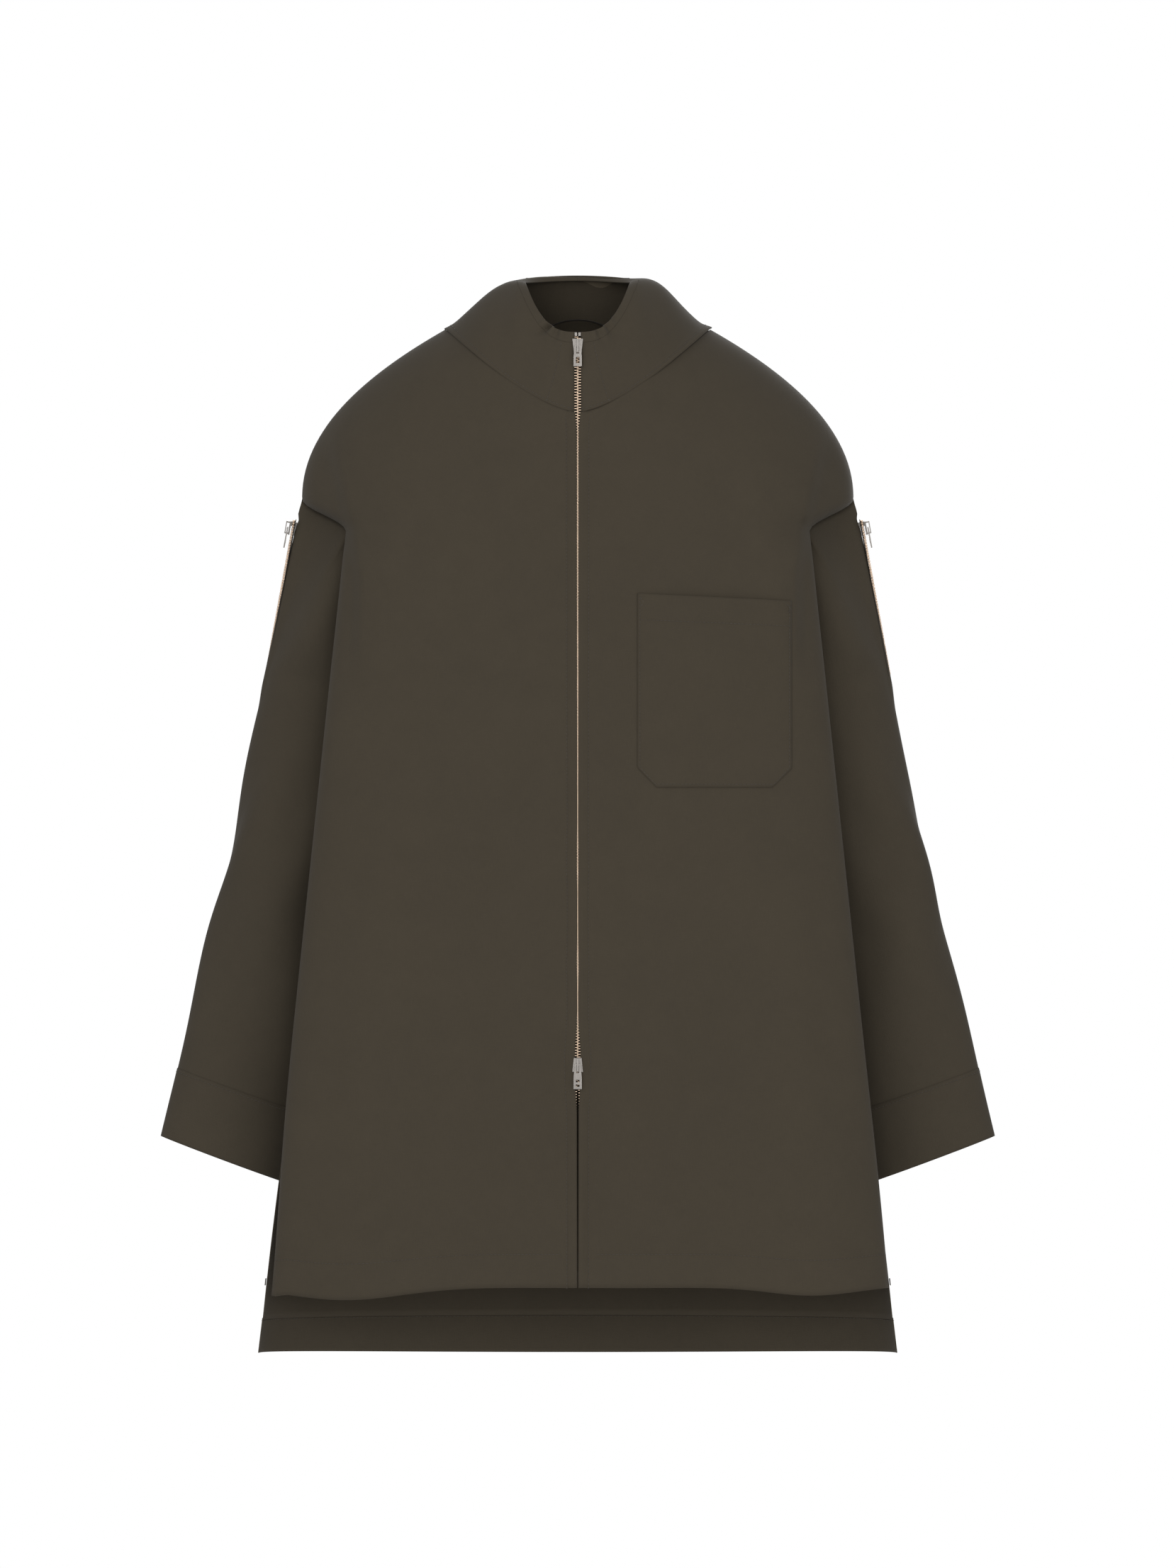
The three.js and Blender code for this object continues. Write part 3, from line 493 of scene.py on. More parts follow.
def shoulder(share):
    """Shoulder seam: nearly straight from the neck, rounding off to the dropped tip."""
    rise = np.clip(np.cos(np.clip(share, 0, 1) * np.pi / 2), 0, 1)
    half = TIP_HALF + (NECK_HALF - TIP_HALF) * rise ** SHOULDER_POWER
    return half, TIP_Z + (NECK_SIDE_Z - TIP_Z) * rise


def side_wrap(z):
    """Angle at which the front ends: past the side at the underarm, at the side by the hem."""
    share = np.clip((UNDERARM_Z - z) / (UNDERARM_Z - FRONT_HEM_Z), 0, 1)
    return SIDE_WRAP + (HEM_WRAP - SIDE_WRAP) * share


def front_row(row):
    """Middle and edge heights, half width, fold depth and wrap angle of each row of the front."""
    half, edge = shoulder(row / TIP_ROW)
    above = row <= TIP_ROW
    down = [(UNDERARM_ROW, UNDERARM_Z), (1, FRONT_HEM_Z)]
    low = linear(row, [(TIP_ROW, TIP_Z), (UPPER_ROW, TIP_Z - 30), (LOWER_ROW, TIP_Z - 60), *down])
    edge = np.where(above, edge, low)
    middle = linear(row, [(0, NECK_FRONT_Z), (TIP_ROW, TIP_Z - 40), *down])
    near = ease((row - TIP_ROW) / (UPPER_ROW - TIP_ROW))
    half = np.where(above, half, TIP_HALF + (body_half(edge) - TIP_HALF) * near)
    fold = np.where(above, RIDGE_Y, eased(row, [
        (TIP_ROW, RIDGE_Y), (UPPER_ROW, FOLD_Y + 18), (LOWER_ROW, FOLD_Y), (1, FOLD_Y)]))
    armhole = linear(row, [(TIP_ROW, 90), (UPPER_ROW, 100), (UNDERARM_ROW, SIDE_WRAP)])
    wrap = np.where(above, 90.0, np.where(row < UNDERARM_ROW, armhole, side_wrap(edge)))
    return middle, edge, half, fold, wrap


def front_at(row, angle):
    """Front surface: a superellipse from centre front out to the side fold, then an ellipse behind it."""
    middle, edge, half, fold, _ = front_row(row)
    turn = np.radians(angle)
    past = angle > 90
    sine = np.clip(np.sin(turn), 0, 1)
    cosine = np.abs(np.cos(turn))
    share = np.where(past, sine, sine ** FRONT_POWER)
    depth = np.where(past, fold + (BACK_Y - fold) * cosine,
                     fold - (fold - FRONT_Y) * cosine ** FRONT_POWER)
    height = middle + (edge - middle) * np.where(past, 1.0, share ** 1.5)
    return np.stack([half * share, depth, height], -1)


def angle_at_x(row, x):
    """Angle on the front's superellipse at a distance x from the middle."""
    half = front_row(row)[2]
    return np.degrees(np.arcsin(np.clip(x / half, 0, 1) ** (1 / FRONT_POWER)))


def back_row(row):
    """Middle and edge heights, half width, fold depth and wrap angle of each row of the back."""
    half, edge = shoulder(row / TIP_ROW)
    above = row <= TIP_ROW
    down = [(UNDERARM_ROW, UNDERARM_Z), (1, BACK_HEM_Z + BACK_HEM_DEPTH)]
    low = linear(row, [(TIP_ROW, TIP_Z), (UPPER_ROW, TIP_Z - 45), (LOWER_ROW, TIP_Z - 95), *down])
    edge = np.where(above, edge, low)
    middle = linear(row, [(0, NECK_BACK_Z), (TIP_ROW, TIP_Z - 25), *down])
    under = body_half(UNDERARM_Z)
    arm = eased(row, [(TIP_ROW, TIP_HALF), (UPPER_ROW, TIP_HALF - 11), (LOWER_ROW, under), (1, under)])
    half = np.where(above, half, np.where(row > UNDERARM_ROW, body_half(edge), arm))
    fold = np.where(above, RIDGE_Y, eased(row, [
        (TIP_ROW, RIDGE_Y), (UPPER_ROW, RIDGE_Y + 10), (LOWER_ROW, RIDGE_Y - 15),
        (UNDERARM_ROW, FOLD_Y), (1, FOLD_Y)]))
    armhole = linear(row, [(TIP_ROW, 90), (UPPER_ROW, 75), (LOWER_ROW, 62),
                           (UNDERARM_ROW, 180 - SIDE_WRAP)])
    wrap = np.where(above, 90.0, np.where(row < UNDERARM_ROW, armhole, 180 - side_wrap(edge)))
    return middle, edge, half, fold, wrap


def back_at(row, angle):
    """Back surface: an ellipse from side to side, its height easing from the middle to the edges."""
    middle, edge, half, fold, wrap = back_row(row)
    turn = np.radians(angle)
    share = np.abs(np.sin(turn)) / np.sin(np.radians(wrap))
    height = middle + (edge - middle) * share ** 1.5
    return np.stack([half * np.sin(turn), fold + (BACK_Y - fold) * np.cos(turn), height], -1)


def mirrored(points, side):
    """The same points on the side asked for, mirrored in x for the right."""
    return points * np.array([side, 1.0, 1.0])


# Soft folds of the hung cloth: ends (x, z), half width and depth in millimetres, + raised.
FRONT_FOLDS = (
    (-150, -150, -186, -330, 16, 2.2), (-120, -120, -176, -260, 22, -1.8),
    (-60, -330, -130, -600, 26, 1.6), (-170, -420, -205, -800, 24, 2.0),
    (-96, -560, -150, -840, 28, -2.2), (-32, -480, -70, -840, 22, 1.4),
    (152, -140, 190, -320, 15, 2.4), (118, -118, 172, -240, 20, -1.8),
    (60, -420, 126, -640, 24, 1.8), (176, -440, 214, -810, 22, 2.2),
    (92, -560, 160, -845, 26, -2.4), (30, -380, 74, -700, 18, 1.2),
    (20, -150, 60, -230, 18, -1.0), (-20, -140, -66, -250, 18, -1.0))
BACK_FOLDS = (
    (-60, -60, -150, -300, 26, 2.6), (60, -60, 150, -300, 26, 2.6), (0, -260, -24, -860, 30, 3.2),
    (-110, -300, -130, -870, 26, -2.8), (118, -320, 140, -870, 26, -2.8),
    (-190, -420, -215, -870, 22, 2.4), (186, -430, 214, -870, 22, 2.4), (70, -420, 84, -880, 22, 2.4))


def folds(points, ridges):
    """Sum of ridges: each falls away as a bell to either side of its line and fades at its ends."""
    x, z = points[..., 0], points[..., 2]
    height = np.zeros_like(x)
    for x0, z0, x1, z1, width, depth in ridges:
        run = np.array([x1 - x0, z1 - z0], float)
        along = ((x - x0) * run[0] + (z - z0) * run[1]) / run.dot(run)
        nearest = np.clip(along, 0, 1)
        away = np.hypot(x - x0 - nearest * run[0], z - z0 - nearest * run[1])
        height += depth * bell(away, width) * np.sin(np.pi * np.clip(along, 0.02, 0.98)) ** 0.6
    return height


def front_hem_drop(x):
    """How the front hem's edge wanders: lower towards each side, highest beside the zip."""
    return 2.5 - 11.0 * bell(x + 205, 70) - 7.0 * bell(x - 205, 52) - 5.0 * ease((-x - 250) / 30)


def chain_gap(z):
    """Half the slit between the front edges at each height."""
    return linear(-z, [(10, 3.0), (36, 2.6), (44, 1.2), (58, 1.3), (63, 2.4), (84, 2.3), (96, 1.0),
                       (260, 0.8), (395, 0.6), (440, 0.4), (462, 0.9), (480, 0.9), (500, 0.4), (545, 0.5),
                       (562, 1.1), (585, 0.5), (606, 0.6), (625, 1.5), (640, 2.6), (668, 2.4),
                       (690, 0.8), (850, 0.6)])


def shoulder_break(points):
    """How far the cloth outside the fold that runs down from the shoulder lies behind the front."""
    x, z = np.abs(points[..., 0]), points[..., 2]
    line = 199 + np.clip(z - CHEST_Z, -60, 80) * 0.2
    return 8 * ease((x - line) / 13) * ease((-z - 70) / 60) * ease((TIP_HALF - x) / 22)


def front_surface(points, side, drape):
    """Adds the hung shape to the plain front: shoulder break, folds, hem and rolled zip edge."""
    x, z = np.abs(points[..., 0]), points[..., 2]
    points[..., 1] += shoulder_break(points) * ease((z + 330) / 80)
    normal = outer_normals(points)
    clear = ease((x - 12) / 30)
    height = folds(points, FRONT_FOLDS) * clear * drape
    waves = np.sin(z / 37.0 + 1.3 * side) + 0.6 * np.sin(z / 19.0 + 2.0)
    height += 0.5 * waves * bell(x - 15, 14) * drape
    height += 0.9 * bell(x - 3.2, 2.6) - 0.45 * bell(x - PLACKET_LINE, 0.9)
    low = ease((-z - 560) / 290)
    height += 3.4 * low * low * np.sin(points[..., 0] / 31.0 + 0.8) * clear * drape
    points += normal * height[..., None]
    near_hem = ease((-z - 700) / 148) ** 2
    points[..., 2] += front_hem_drop(points[..., 0]) * near_hem
    return points


def front_grid(side, drape, rows=190, columns=96):
    """Grid of one front: close columns at the zip's edge, then even angles out to the side seam."""
    row = np.linspace(0, 1, rows)[:, None]
    middle = front_row(row)[0]
    near = np.array([0.0, 0.6, 1.3, 2.2, 3.2, 4.4, 5.6, 6.8, 7.6, 8.2, 8.8, 9.4, 10.4, 12.5, 15.5, 19.0])
    wrap = front_row(row)[4]
    first = angle_at_x(row, chain_gap(middle) + near[None])
    rest = np.linspace(0, 1, columns - len(near) + 1)[None, 1:]
    trim = np.where(row > TIP_ROW, 0.12, 0.06)
    far = first[:, -1:] + (wrap - trim - first[:, -1:]) * rest
    points = front_at(row, np.concatenate([first, far], 1))
    return front_surface(mirrored(points, side), side, drape)


def back_grid(drape, rows=170, columns=150):
    """Grid of the back: even angles from seam to seam, with folds that fade at the seams."""
    row = np.linspace(0, 1, rows)[:, None]
    wrap = back_row(row)[4] - 0.1
    points = back_at(row, np.linspace(-1, 1, columns)[None] * wrap)
    normal = outer_normals(points)
    edge = ease((1 - np.abs(np.linspace(-1, 1, columns))) / 0.12)[None]
    height = folds(points, BACK_FOLDS) * drape * edge
    return points + normal * height[..., None]


def hem_grid(drape, low, high, rows=14, columns=150):
    """Band of the back below the front: the same ellipse, its lower edge a shallow curve."""
    height = np.linspace(high, low, rows)[:, None]
    turn = np.radians(np.linspace(-HEM_WRAP + 0.3, HEM_WRAP - 0.3, columns))[None]
    x = body_half(height) * np.sin(turn)
    y = FOLD_Y + (BACK_Y - FOLD_Y) * np.cos(turn) + 0 * height
    z = height + 4.0 * (x / 275.0) ** 2 * (high - height) / (high - low)
    points = np.stack([x, y, z + 0 * x], -1)
    normal = outer_normals(points)
    edge = ease((1 - np.abs(np.linspace(-1, 1, columns))) / 0.12)[None]
    return points + normal * (folds(points, BACK_FOLDS) * drape * edge)[..., None]


# ---- Sleeves ----

def sleeve_centre(t):
    """Middle of the sleeve: beside the body at the top, further out towards the cuff."""
    t = np.clip(t, 0, None)
    height = SLEEVE_TOP_Z + (SLEEVE_END_Z - SLEEVE_TOP_Z) * t
    offset = -2 + 54 * t ** 1.2
    return np.stack([body_half(height) + offset, SLEEVE_Y + 0 * height, height], -1)


def sleeve_oval(t, angle):
    """Oval across the sleeve's run, turned a little more than square to it towards the cuff."""
    centre = sleeve_centre(t)
    run = sleeve_centre(t + 1e-3) - sleeve_centre(np.clip(t - 1e-3, 0, None))
    run /= np.linalg.norm(run, axis=-1, keepdims=True)
    cant = np.radians(8.0) * t
    out_x = -run[..., 2] * np.cos(cant) - run[..., 0] * np.sin(cant)
    out_z = run[..., 0] * np.cos(cant) - run[..., 2] * np.sin(cant)
    turn = np.radians(angle)
    half = 47 + 11 * t
    depth = 50 - 20 * np.clip(t, 0, None) ** 1.4
    x = centre[..., 0] + out_x * half * np.cos(turn)
    z = centre[..., 2] + out_z * half * np.cos(turn)
    return np.stack([x, centre[..., 1] - depth * np.sin(turn), z], -1)


def armhole(angle):
    """Seam that the sleeve is set into: along the front from the tip to the underarm, back along the back."""
    lower = angle > 180
    share = np.where(lower, 360 - angle, angle) / 180
    row = TIP_ROW + (UNDERARM_ROW - TIP_ROW) * np.clip(share, 0, 1)
    front = front_at(row, front_row(row)[4])
    front[..., 1] += shoulder_break(front) * ease((front[..., 2] + 330) / 80)
    back = back_at(row, back_row(row)[4])
    return np.where(lower[..., None], back, front)


def sleeve_at(t, angle):
    """Sleeve: straight from the armhole seam to the first whole oval, then oval after oval."""
    seam = armhole(angle) + 0 * t[..., None]
    oval = sleeve_oval(np.maximum(t, FULL_OVAL), angle)
    onward = oval - seam
    onward /= np.linalg.norm(onward, axis=-1, keepdims=True)
    seam = seam + onward * 0.1
    share = np.clip(t / FULL_OVAL, 0, 1)
    cap = np.array([0.25, -1.0, 0.0]) * (11 * np.sin(np.pi * share) * bell(angle - 62, 44))[..., None]
    return seam + (oval - seam) * share[..., None] + cap


def sleeve_angles(columns=104):
    """Angles round a sleeve, close together under its zip."""
    return np.concatenate([np.linspace(-16, 16, 41), np.linspace(16, 344, columns)[1:-1]]) % 360


def sleeve_grid(side, first, last, rows, drape):
    """Grid of a sleeve: ovals with soft ripples, and a slot between two lips for the zip."""
    t = np.linspace(first, last, rows)[:, None]
    t, angle = np.broadcast_arrays(t, sleeve_angles()[None])
    points = sleeve_at(t, angle)
    normal = outer_normals(points, True)
    turn = np.radians(angle)
    fade = ease((t - 0.02) / 0.12) * ease((1.02 - t) / 0.12)
    ripple = 2.0 * np.sin(2 * turn + 9 * t + 0.7 * side) * bell(t - 0.42, 0.16)
    ripple += 1.8 * np.sin(3 * turn - 14 * t + side) * bell(t - 0.66, 0.16)
    ripple += 1.1 * np.sin(5 * turn + 21 * t) * bell(t - 0.5, 0.14)
    aside = np.minimum(angle, 360 - angle) * 0.84
    beside = ease((ZIP_LAST + 0.03 - t) / 0.05) * ease(t / 0.05)
    lip = (3.3 - 6.5 * t) * (1 - ease((aside - 5) / 10)) * beside
    slot = -6.4 * (1 - ease((aside - 2.2) / 1.3)) * beside * ease((t - ZIP_FIRST + 0.01) / 0.02)
    points = points + normal * (ripple * fade * drape + lip + slot)[..., None]
    return mirrored(points, side)


# ---- Hood ----

def hood_at(t, angle):
    """Folded-down hood: up from the neck seam, over its crest and in to the rim round the opening."""
    back = angle > 90
    turn = np.radians(angle)
    power = np.where(back, 1.0, FRONT_POWER)
    share = np.clip(np.sin(turn), 0, 1) ** power
    reach = np.abs(np.cos(turn)) ** power
    side = RIDGE_Y + (RIM_SIDE_Y - RIDGE_Y) * t
    depth = np.where(back, side + (BACK_Y + (RIM_BACK_Y - BACK_Y) * t - side) * reach,
                     side + (FRONT_Y - side) * reach)
    lift = HOOD_RISE * np.sin(np.radians(HOOD_ROLL * t))
    end = np.where(back, NECK_BACK_Z + lift * BACK_LIFT, NECK_FRONT_Z + (RIM_FRONT_Z - NECK_FRONT_Z) * t)
    side_z = NECK_SIDE_Z + lift
    height = end + (side_z - end) * share ** np.where(back, 2.0, NECK_DIP + (RIM_DIP - NECK_DIP) * t)
    return np.stack([hood_half(t) * share, depth, height], -1)


def hood_half(t):
    """Half the hood's width: narrows by a power from the neck seam to the rim."""
    return NECK_HALF + (RIM_HALF - NECK_HALF) * np.clip(t, 0, None) ** HOOD_NARROWING


def hood_start(t):
    """Angle at which the hood's front edge stands 3 mm from the middle."""
    return np.degrees(np.arcsin((3.0 / hood_half(t)) ** (1 / FRONT_POWER)))


def hood_surface(points, t, angle, side, drape):
    """Adds soft swags round the hood and close gathers at the rim beside the zip."""
    normal = outer_normals(points, middle=HOOD_MIDDLE)
    ripple = 1.7 * np.sin(angle / 21.0 + 2.2 * t + 0.9 * side) * np.sin(np.pi * np.clip(t, 0, 1))
    ripple += 1.2 * np.sin(angle / 9.0 - 5.0 * t) * bell(t - 0.6, 0.25) * bell(angle - 60, 40)
    near_rim = bell(t - 1.0, 0.16)
    gathers = 1.4 * np.sin(angle * 0.6 + 1.0) * near_rim * bell(angle - 20, 13)
    tuck = -4.0 * bell(angle - 25 - 24 * (1 - t), 2.6) * bell(t - 1.0, 0.2) * (1.0 if side < 0 else 0.3)
    hem = (2.6 if side > 0 else 1.3) * bell(t, 0.05) * ease((angle - 22) / 25) * ease((150 - angle) / 40)
    height = (ripple * ease((angle - 8) / 22) * ease((180 - angle) / 30) + gathers + tuck) * drape + hem
    return points + normal * height[..., None]


def hood_panel(side, first, last, start, stop, rows, columns, drape):
    """Grid of one hood piece, between two heights and two angles."""
    t = np.linspace(first, last, rows)[:, None]
    begin = hood_start(t) if start is None else start
    angle = begin + (stop - begin) * np.linspace(0, 1, columns)[None]
    t, angle = np.broadcast_arrays(t, angle)
    return hood_surface(mirrored(hood_at(t, angle), side), t, angle, side, drape)


# ---- Operators ----

class JacketPiece:
    """What every operator of the jacket shares."""

    bl_options = {"REGISTER"}

    @property
    def cloth(self):
        return bpy.context.scene.jacket_cloth

    @property
    def zips(self):
        return bpy.context.scene.jacket_zip

    def wear(self, piece, node, slot, body="torso"):
        """Puts the piece on the body that carries it and hides the CAD node it stands for; the slot is not
        used.
        """
        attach(piece, body)
        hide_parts(node)

    def finish(self, kind):
        """One material of each kind, made the first time it is asked for."""
        name = f"jacket_{kind}"
        if name in bpy.data.materials:
            return bpy.data.materials[name]
        makers = {
            "cloth": lambda: woven_cloth(name, self.cloth.colour, self.cloth.yarn),
            # The lining is the cloth colour made 1.9 times lighter: painted light that brightens the shaded
            # inside of the hood, and also the pocket band and the facings.
            "lining": lambda: woven_cloth(name, tint(self.cloth.colour, 1.9)[:3], self.cloth.yarn),
            "tape": lambda: woven_cloth(name, self.zips.tape, 0.0005, 0.05, 0.3),
            "thread": lambda: spun_thread(name, self.cloth.thread),
            "metal": lambda: brushed_metal(name, self.zips.metal, 0.42),
            "teeth": lambda: brushed_metal(name, self.zips.teeth, 0.34),
        }
        return makers[kind]()


class JACKET_OT_stage(JacketPiece, bpy.types.Operator):
    """Pale round floor, soft studio light and the long-lens camera in front"""

    bl_idname = "jacket.stage"
    bl_label = "Stage"

    def execute(self, context):
        self.backdrop()
        self.lights()
        self.camera(context)
        return {"FINISHED"}

    def backdrop(self):
        """Round paper floor below the jacket, out of sight of the camera in front."""
        radius = np.linspace(20.0, FLOOR_RADIUS, 30)[:, None]
        turn = (np.arange(96) * 2 * np.pi / 96)[None]
        floor = CAD_BOX[0][2] / MM - FLOOR_DROP
        points = np.stack([radius * np.cos(turn), radius * np.sin(turn), floor + 0 * radius * turn], -1)
        to_mesh("floor", points, grid_faces(30, 96, True), backdrop_paper("paper"))

    def lights(self):
        lamps = (("key", (-1.9, -3.4, 1.0), (74, 0, -29), 2.2, 48.0),
                 ("fill", (1.7, -3.6, -0.3), (88, 0, 25), 2.4, 40.0),
                 ("front", (0.0, -5.0, -0.1), (88, 0, 0), 1.6, 74.0),
                 ("top", (0.0, -1.4, 2.2), (30, 0, 0), 2.0, 10.0),
                 ("rear", (0.6, 3.6, 0.6), (-80, 0, 0), 2.4, 90.0))
        for name, place, turn, size, power in lamps:
            lamp = bpy.data.lights.new(name, "AREA")
            lamp.size = size
            lamp.energy = power
            holder = bpy.data.objects.new(name, lamp)
            holder.location = place
            holder.rotation_euler = np.radians(turn)
            bpy.context.scene.collection.objects.link(holder)
        world = bpy.data.worlds.new("studio")
        world.use_nodes = True
        tree = world.node_tree
        around = tree.nodes["Background"]
        around.inputs[1].default_value = 0.75
        behind = tree.nodes.new("ShaderNodeBackground")
        for node in (around, behind):
            node.inputs[0].default_value = (1, 1, 1, 1)
        either = tree.nodes.new("ShaderNodeMixShader")
        rays = tree.nodes.new("ShaderNodeLightPath")
        tree.links.new(rays.outputs["Is Camera Ray"], either.inputs[0])
        tree.links.new(around.outputs[0], either.inputs[1])
        tree.links.new(behind.outputs[0], either.inputs[2])
        tree.links.new(either.outputs[0], tree.nodes["World Output"].inputs[0])
        bpy.context.scene.world = world

    def camera(self, context):
        top = CAD_BOX[1][2]
        lens = bpy.data.cameras.new("camera")
        lens.sensor_width = 36.0
        lens.lens = lens.sensor_width * CAMERA_DISTANCE / CAMERA_VIEW
        lens.clip_end = 50.0
        holder = bpy.data.objects.new("camera", lens)
        holder.location = (CAMERA_ASIDE, -CAMERA_DISTANCE - 0.12, top - CAMERA_DROP)
        holder.rotation_euler = (np.pi / 2, 0, 0)
        context.scene.collection.objects.link(holder)
        context.scene.camera = holder
        context.scene.view_settings.view_transform = "Standard"


class JACKET_OT_fronts(JacketPiece, bpy.types.Operator):
    """Right and left front panels with rolled zip edges, and the facings and hems inside them"""

    bl_idname = "jacket.fronts"
    bl_label = "Fronts"

    def execute(self, context):
        for label, side in SIDES:
            points = front_grid(side, self.cloth.drape)
            panel = cloth_sheet(f"front_{label}", points, self.finish("cloth"))
            self.wear(panel, f"front_panel_{label}", "shell_cloth")
            self.facing(points, slice(4, 180), slice(13, 22), f"front_placket_{label}")
            self.facing(points, slice(183, 190), slice(22, 90), f"front_hem_{label}")
            self.topstitch(label, points)
        return {"FINISHED"}

    def facing(self, points, rows, columns, node):
        """Strip of the front's own grid, moved inside it."""
        part = points[rows, columns]
        # The facings take the lightened lining, painted light, though they lie hidden inside the front.
        strip = cloth_sheet(f"{node}_cloth", part, self.finish("lining"), lift=-2.2)
        self.wear(strip, node, "inner_cloth")

    def topstitch(self, label, points):
        normal = outer_normals(points)
        paths = [(points[2:, 10], normal[2:, 10]), (points[183, 14:92], normal[183, 14:92])]
        stitches(f"front_stitching_{label}", paths, self.finish("thread"), "torso")


class JACKET_OT_back(JacketPiece, bpy.types.Operator):
    """Back panel, its deep hem band, the hem's topstitching and the bars at the side slits"""

    bl_idname = "jacket.back"
    bl_label = "Back"

    def execute(self, context):
        panel = cloth_sheet("back", back_grid(self.cloth.drape), self.finish("cloth"))
        self.wear(panel, "back_panel", "shell_cloth")
        high = BACK_HEM_Z + BACK_HEM_DEPTH
        points = hem_grid(self.cloth.drape, BACK_HEM_Z, high + 1.5)
        band = cloth_sheet("back_hem_band", points, self.finish("cloth"), lift=0.5)
        self.wear(band, "back_hem", "shell_cloth")
        normal = outer_normals(points)
        outside = points + normal * 0.6
        inside = points - normal * 0.6
        paths = [(outside[1], normal[1]), (inside[1], -normal[1])]
        stitches("back_hem_stitching", paths, self.finish("thread"), "torso")
        for label, _ in SIDES:
            tack = bpy.data.objects[f"side_tack_{label}"]
            tack.data.materials.clear()
            tack.data.materials.append(self.finish("thread"))
        return {"FINISHED"}


class JACKET_OT_sleeves(JacketPiece, bpy.types.Operator):
    """Sleeves set into the armhole seam, with deep stitched cuffs"""

    bl_idname = "jacket.sleeves"
    bl_label = "Sleeves"

    def execute(self, context):
        for label, side in SIDES:
            arm = f"arm_{label}"
            points = sleeve_grid(side, 0.0, CUFF_START, 132, self.cloth.drape)
            sleeve = cloth_sheet(f"sleeve_cloth_{label}", points, self.finish("cloth"), ring=True)
            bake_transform(sleeve)
            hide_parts(f"sleeve_{label}")
            points = sleeve_grid(side, CUFF_START - 0.006, 1.0, 22, self.cloth.drape)
            cuff = cloth_sheet(f"cuff_cloth_{label}", points, self.finish("cloth"), ring=True, lift=0.5,
                               thickness=0.0016)
            self.wear(cuff, f"cuff_{label}", "shell_cloth", arm)
            normal = outer_normals(points, True)
            outside = points + normal * 0.6
            loop = lambda grid, row: np.concatenate([grid[row], grid[row, :1]])
            path = (loop(outside, 1), loop(normal, 1))
            stitches(f"cuff_stitching_{label}", [path], self.finish("thread"), arm)
        return {"FINISHED"}

    def bend(self, side):
        """Square to the armhole's slope, from the seam to a little way down the sleeve."""
        top = np.array([side * TIP_HALF, RIDGE_Y, TIP_Z])
        slope = np.array([side * 0.929, 0.0, -0.371])
        return tuple((top + slope * 2.0) * MM), tuple((top + slope * 20.0) * MM)


class JACKET_OT_hood(JacketPiece, bpy.types.Operator):
    """Folded-down hood: sides, back, elastic channel round the rim, and the sack behind the shoulders"""

    bl_idname = "jacket.hood"
    bl_label = "Hood"

    def execute(self, context):
        drape = self.cloth.drape
        for label, side in SIDES:
            grid = hood_panel(side, 0.0, RIM_BAND, None, HOOD_SEAM, 46, 92, drape)
            self.panel(f"hood_side_cloth_{label}", grid, f"hood_side_{label}")
            rim = hood_panel(side, RIM_BAND - 0.01, 1.0, None, 180.0, 14, 150, drape)
            self.panel(f"rim_channel_cloth_{label}", rim, f"rim_channel_{label}", lift=0.2, bound=True)
            normal = outer_normals(grid, middle=HOOD_MIDDLE)
            paths = [(grid[2], normal[2]), (grid[:, 7], normal[:, 7])]
            stitches(f"hood_stitching_{label}", paths, self.finish("thread"), "torso")
        right = hood_panel(-1.0, 0.0, RIM_BAND, HOOD_SEAM, 180.0, 46, 40, drape)
        left = hood_panel(1.0, 0.0, RIM_BAND, HOOD_SEAM, 180.0, 46, 40, drape)
        back = np.concatenate([right, left[:, ::-1][:, 1:]], 1)
        # The hood back takes the lightened lining: painted light on the shaded inside of the hood.
        self.panel("hood_back_cloth", back, "hood_back", finish="lining")
        self.sack()
        return {"FINISHED"}

    def panel(self, name, points, node, lift=0.0, bound=False, finish="cloth"):
        piece = cloth_sheet(name, points, self.finish(finish), middle=HOOD_MIDDLE, lift=lift,
                            bound=bound)
        self.wear(piece, node, "shell_cloth")

    def sack(self):
        """Flattened sack: ovals that shrink to nothing at the bottom, swagging a little as they go."""
        low, high = node_box("hood_bag")
        half, depth = (high[0] - low[0]) / 2, (high[1] - low[1]) / 2
        centre_y = (high[1] + low[1]) / 2
        down = np.linspace(0, 0.995, 70)[:, None] * np.pi / 2
        turn = (np.arange(110) * 2 * np.pi / 110)[None]
        radius = np.cos(down) ** 0.7
        fall = np.sin(down) ** 1.3
        x = half * radius * np.cos(turn)
        y = centre_y + depth * radius * np.sin(turn)
        z = high[2] - (high[2] - low[2]) * fall + 0 * turn
        swag = np.sin(z / 15.0 + 0.0004 * x * x) * 2.4 * ease(fall / 0.2) * ease((1 - fall) / 0.2)
        y = y + swag * self.cloth.drape * (np.sin(turn) > 0)
        points = np.stack([x, y, z], -1)
        crest_t = 90 / HOOD_ROLL
        reach = 0.8 * hood_half(crest_t) * np.cos(turn[0])
        crest = hood_at(crest_t, 180 - np.degrees(np.arcsin(np.abs(reach) / hood_half(crest_t))))
        crest[:, 0] = reach
        crest += np.array([0.0, 2.4, 0.6]) + np.sin(turn[0])[:, None] * np.array([0.0, 1.4, 1.0])
        points = crest + (points - crest) * ease(down / 0.75)[..., None]
        piece = cloth_sheet("hood_sack", points, self.finish("cloth"), ring=True)
        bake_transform(piece)
        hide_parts("hood_bag")


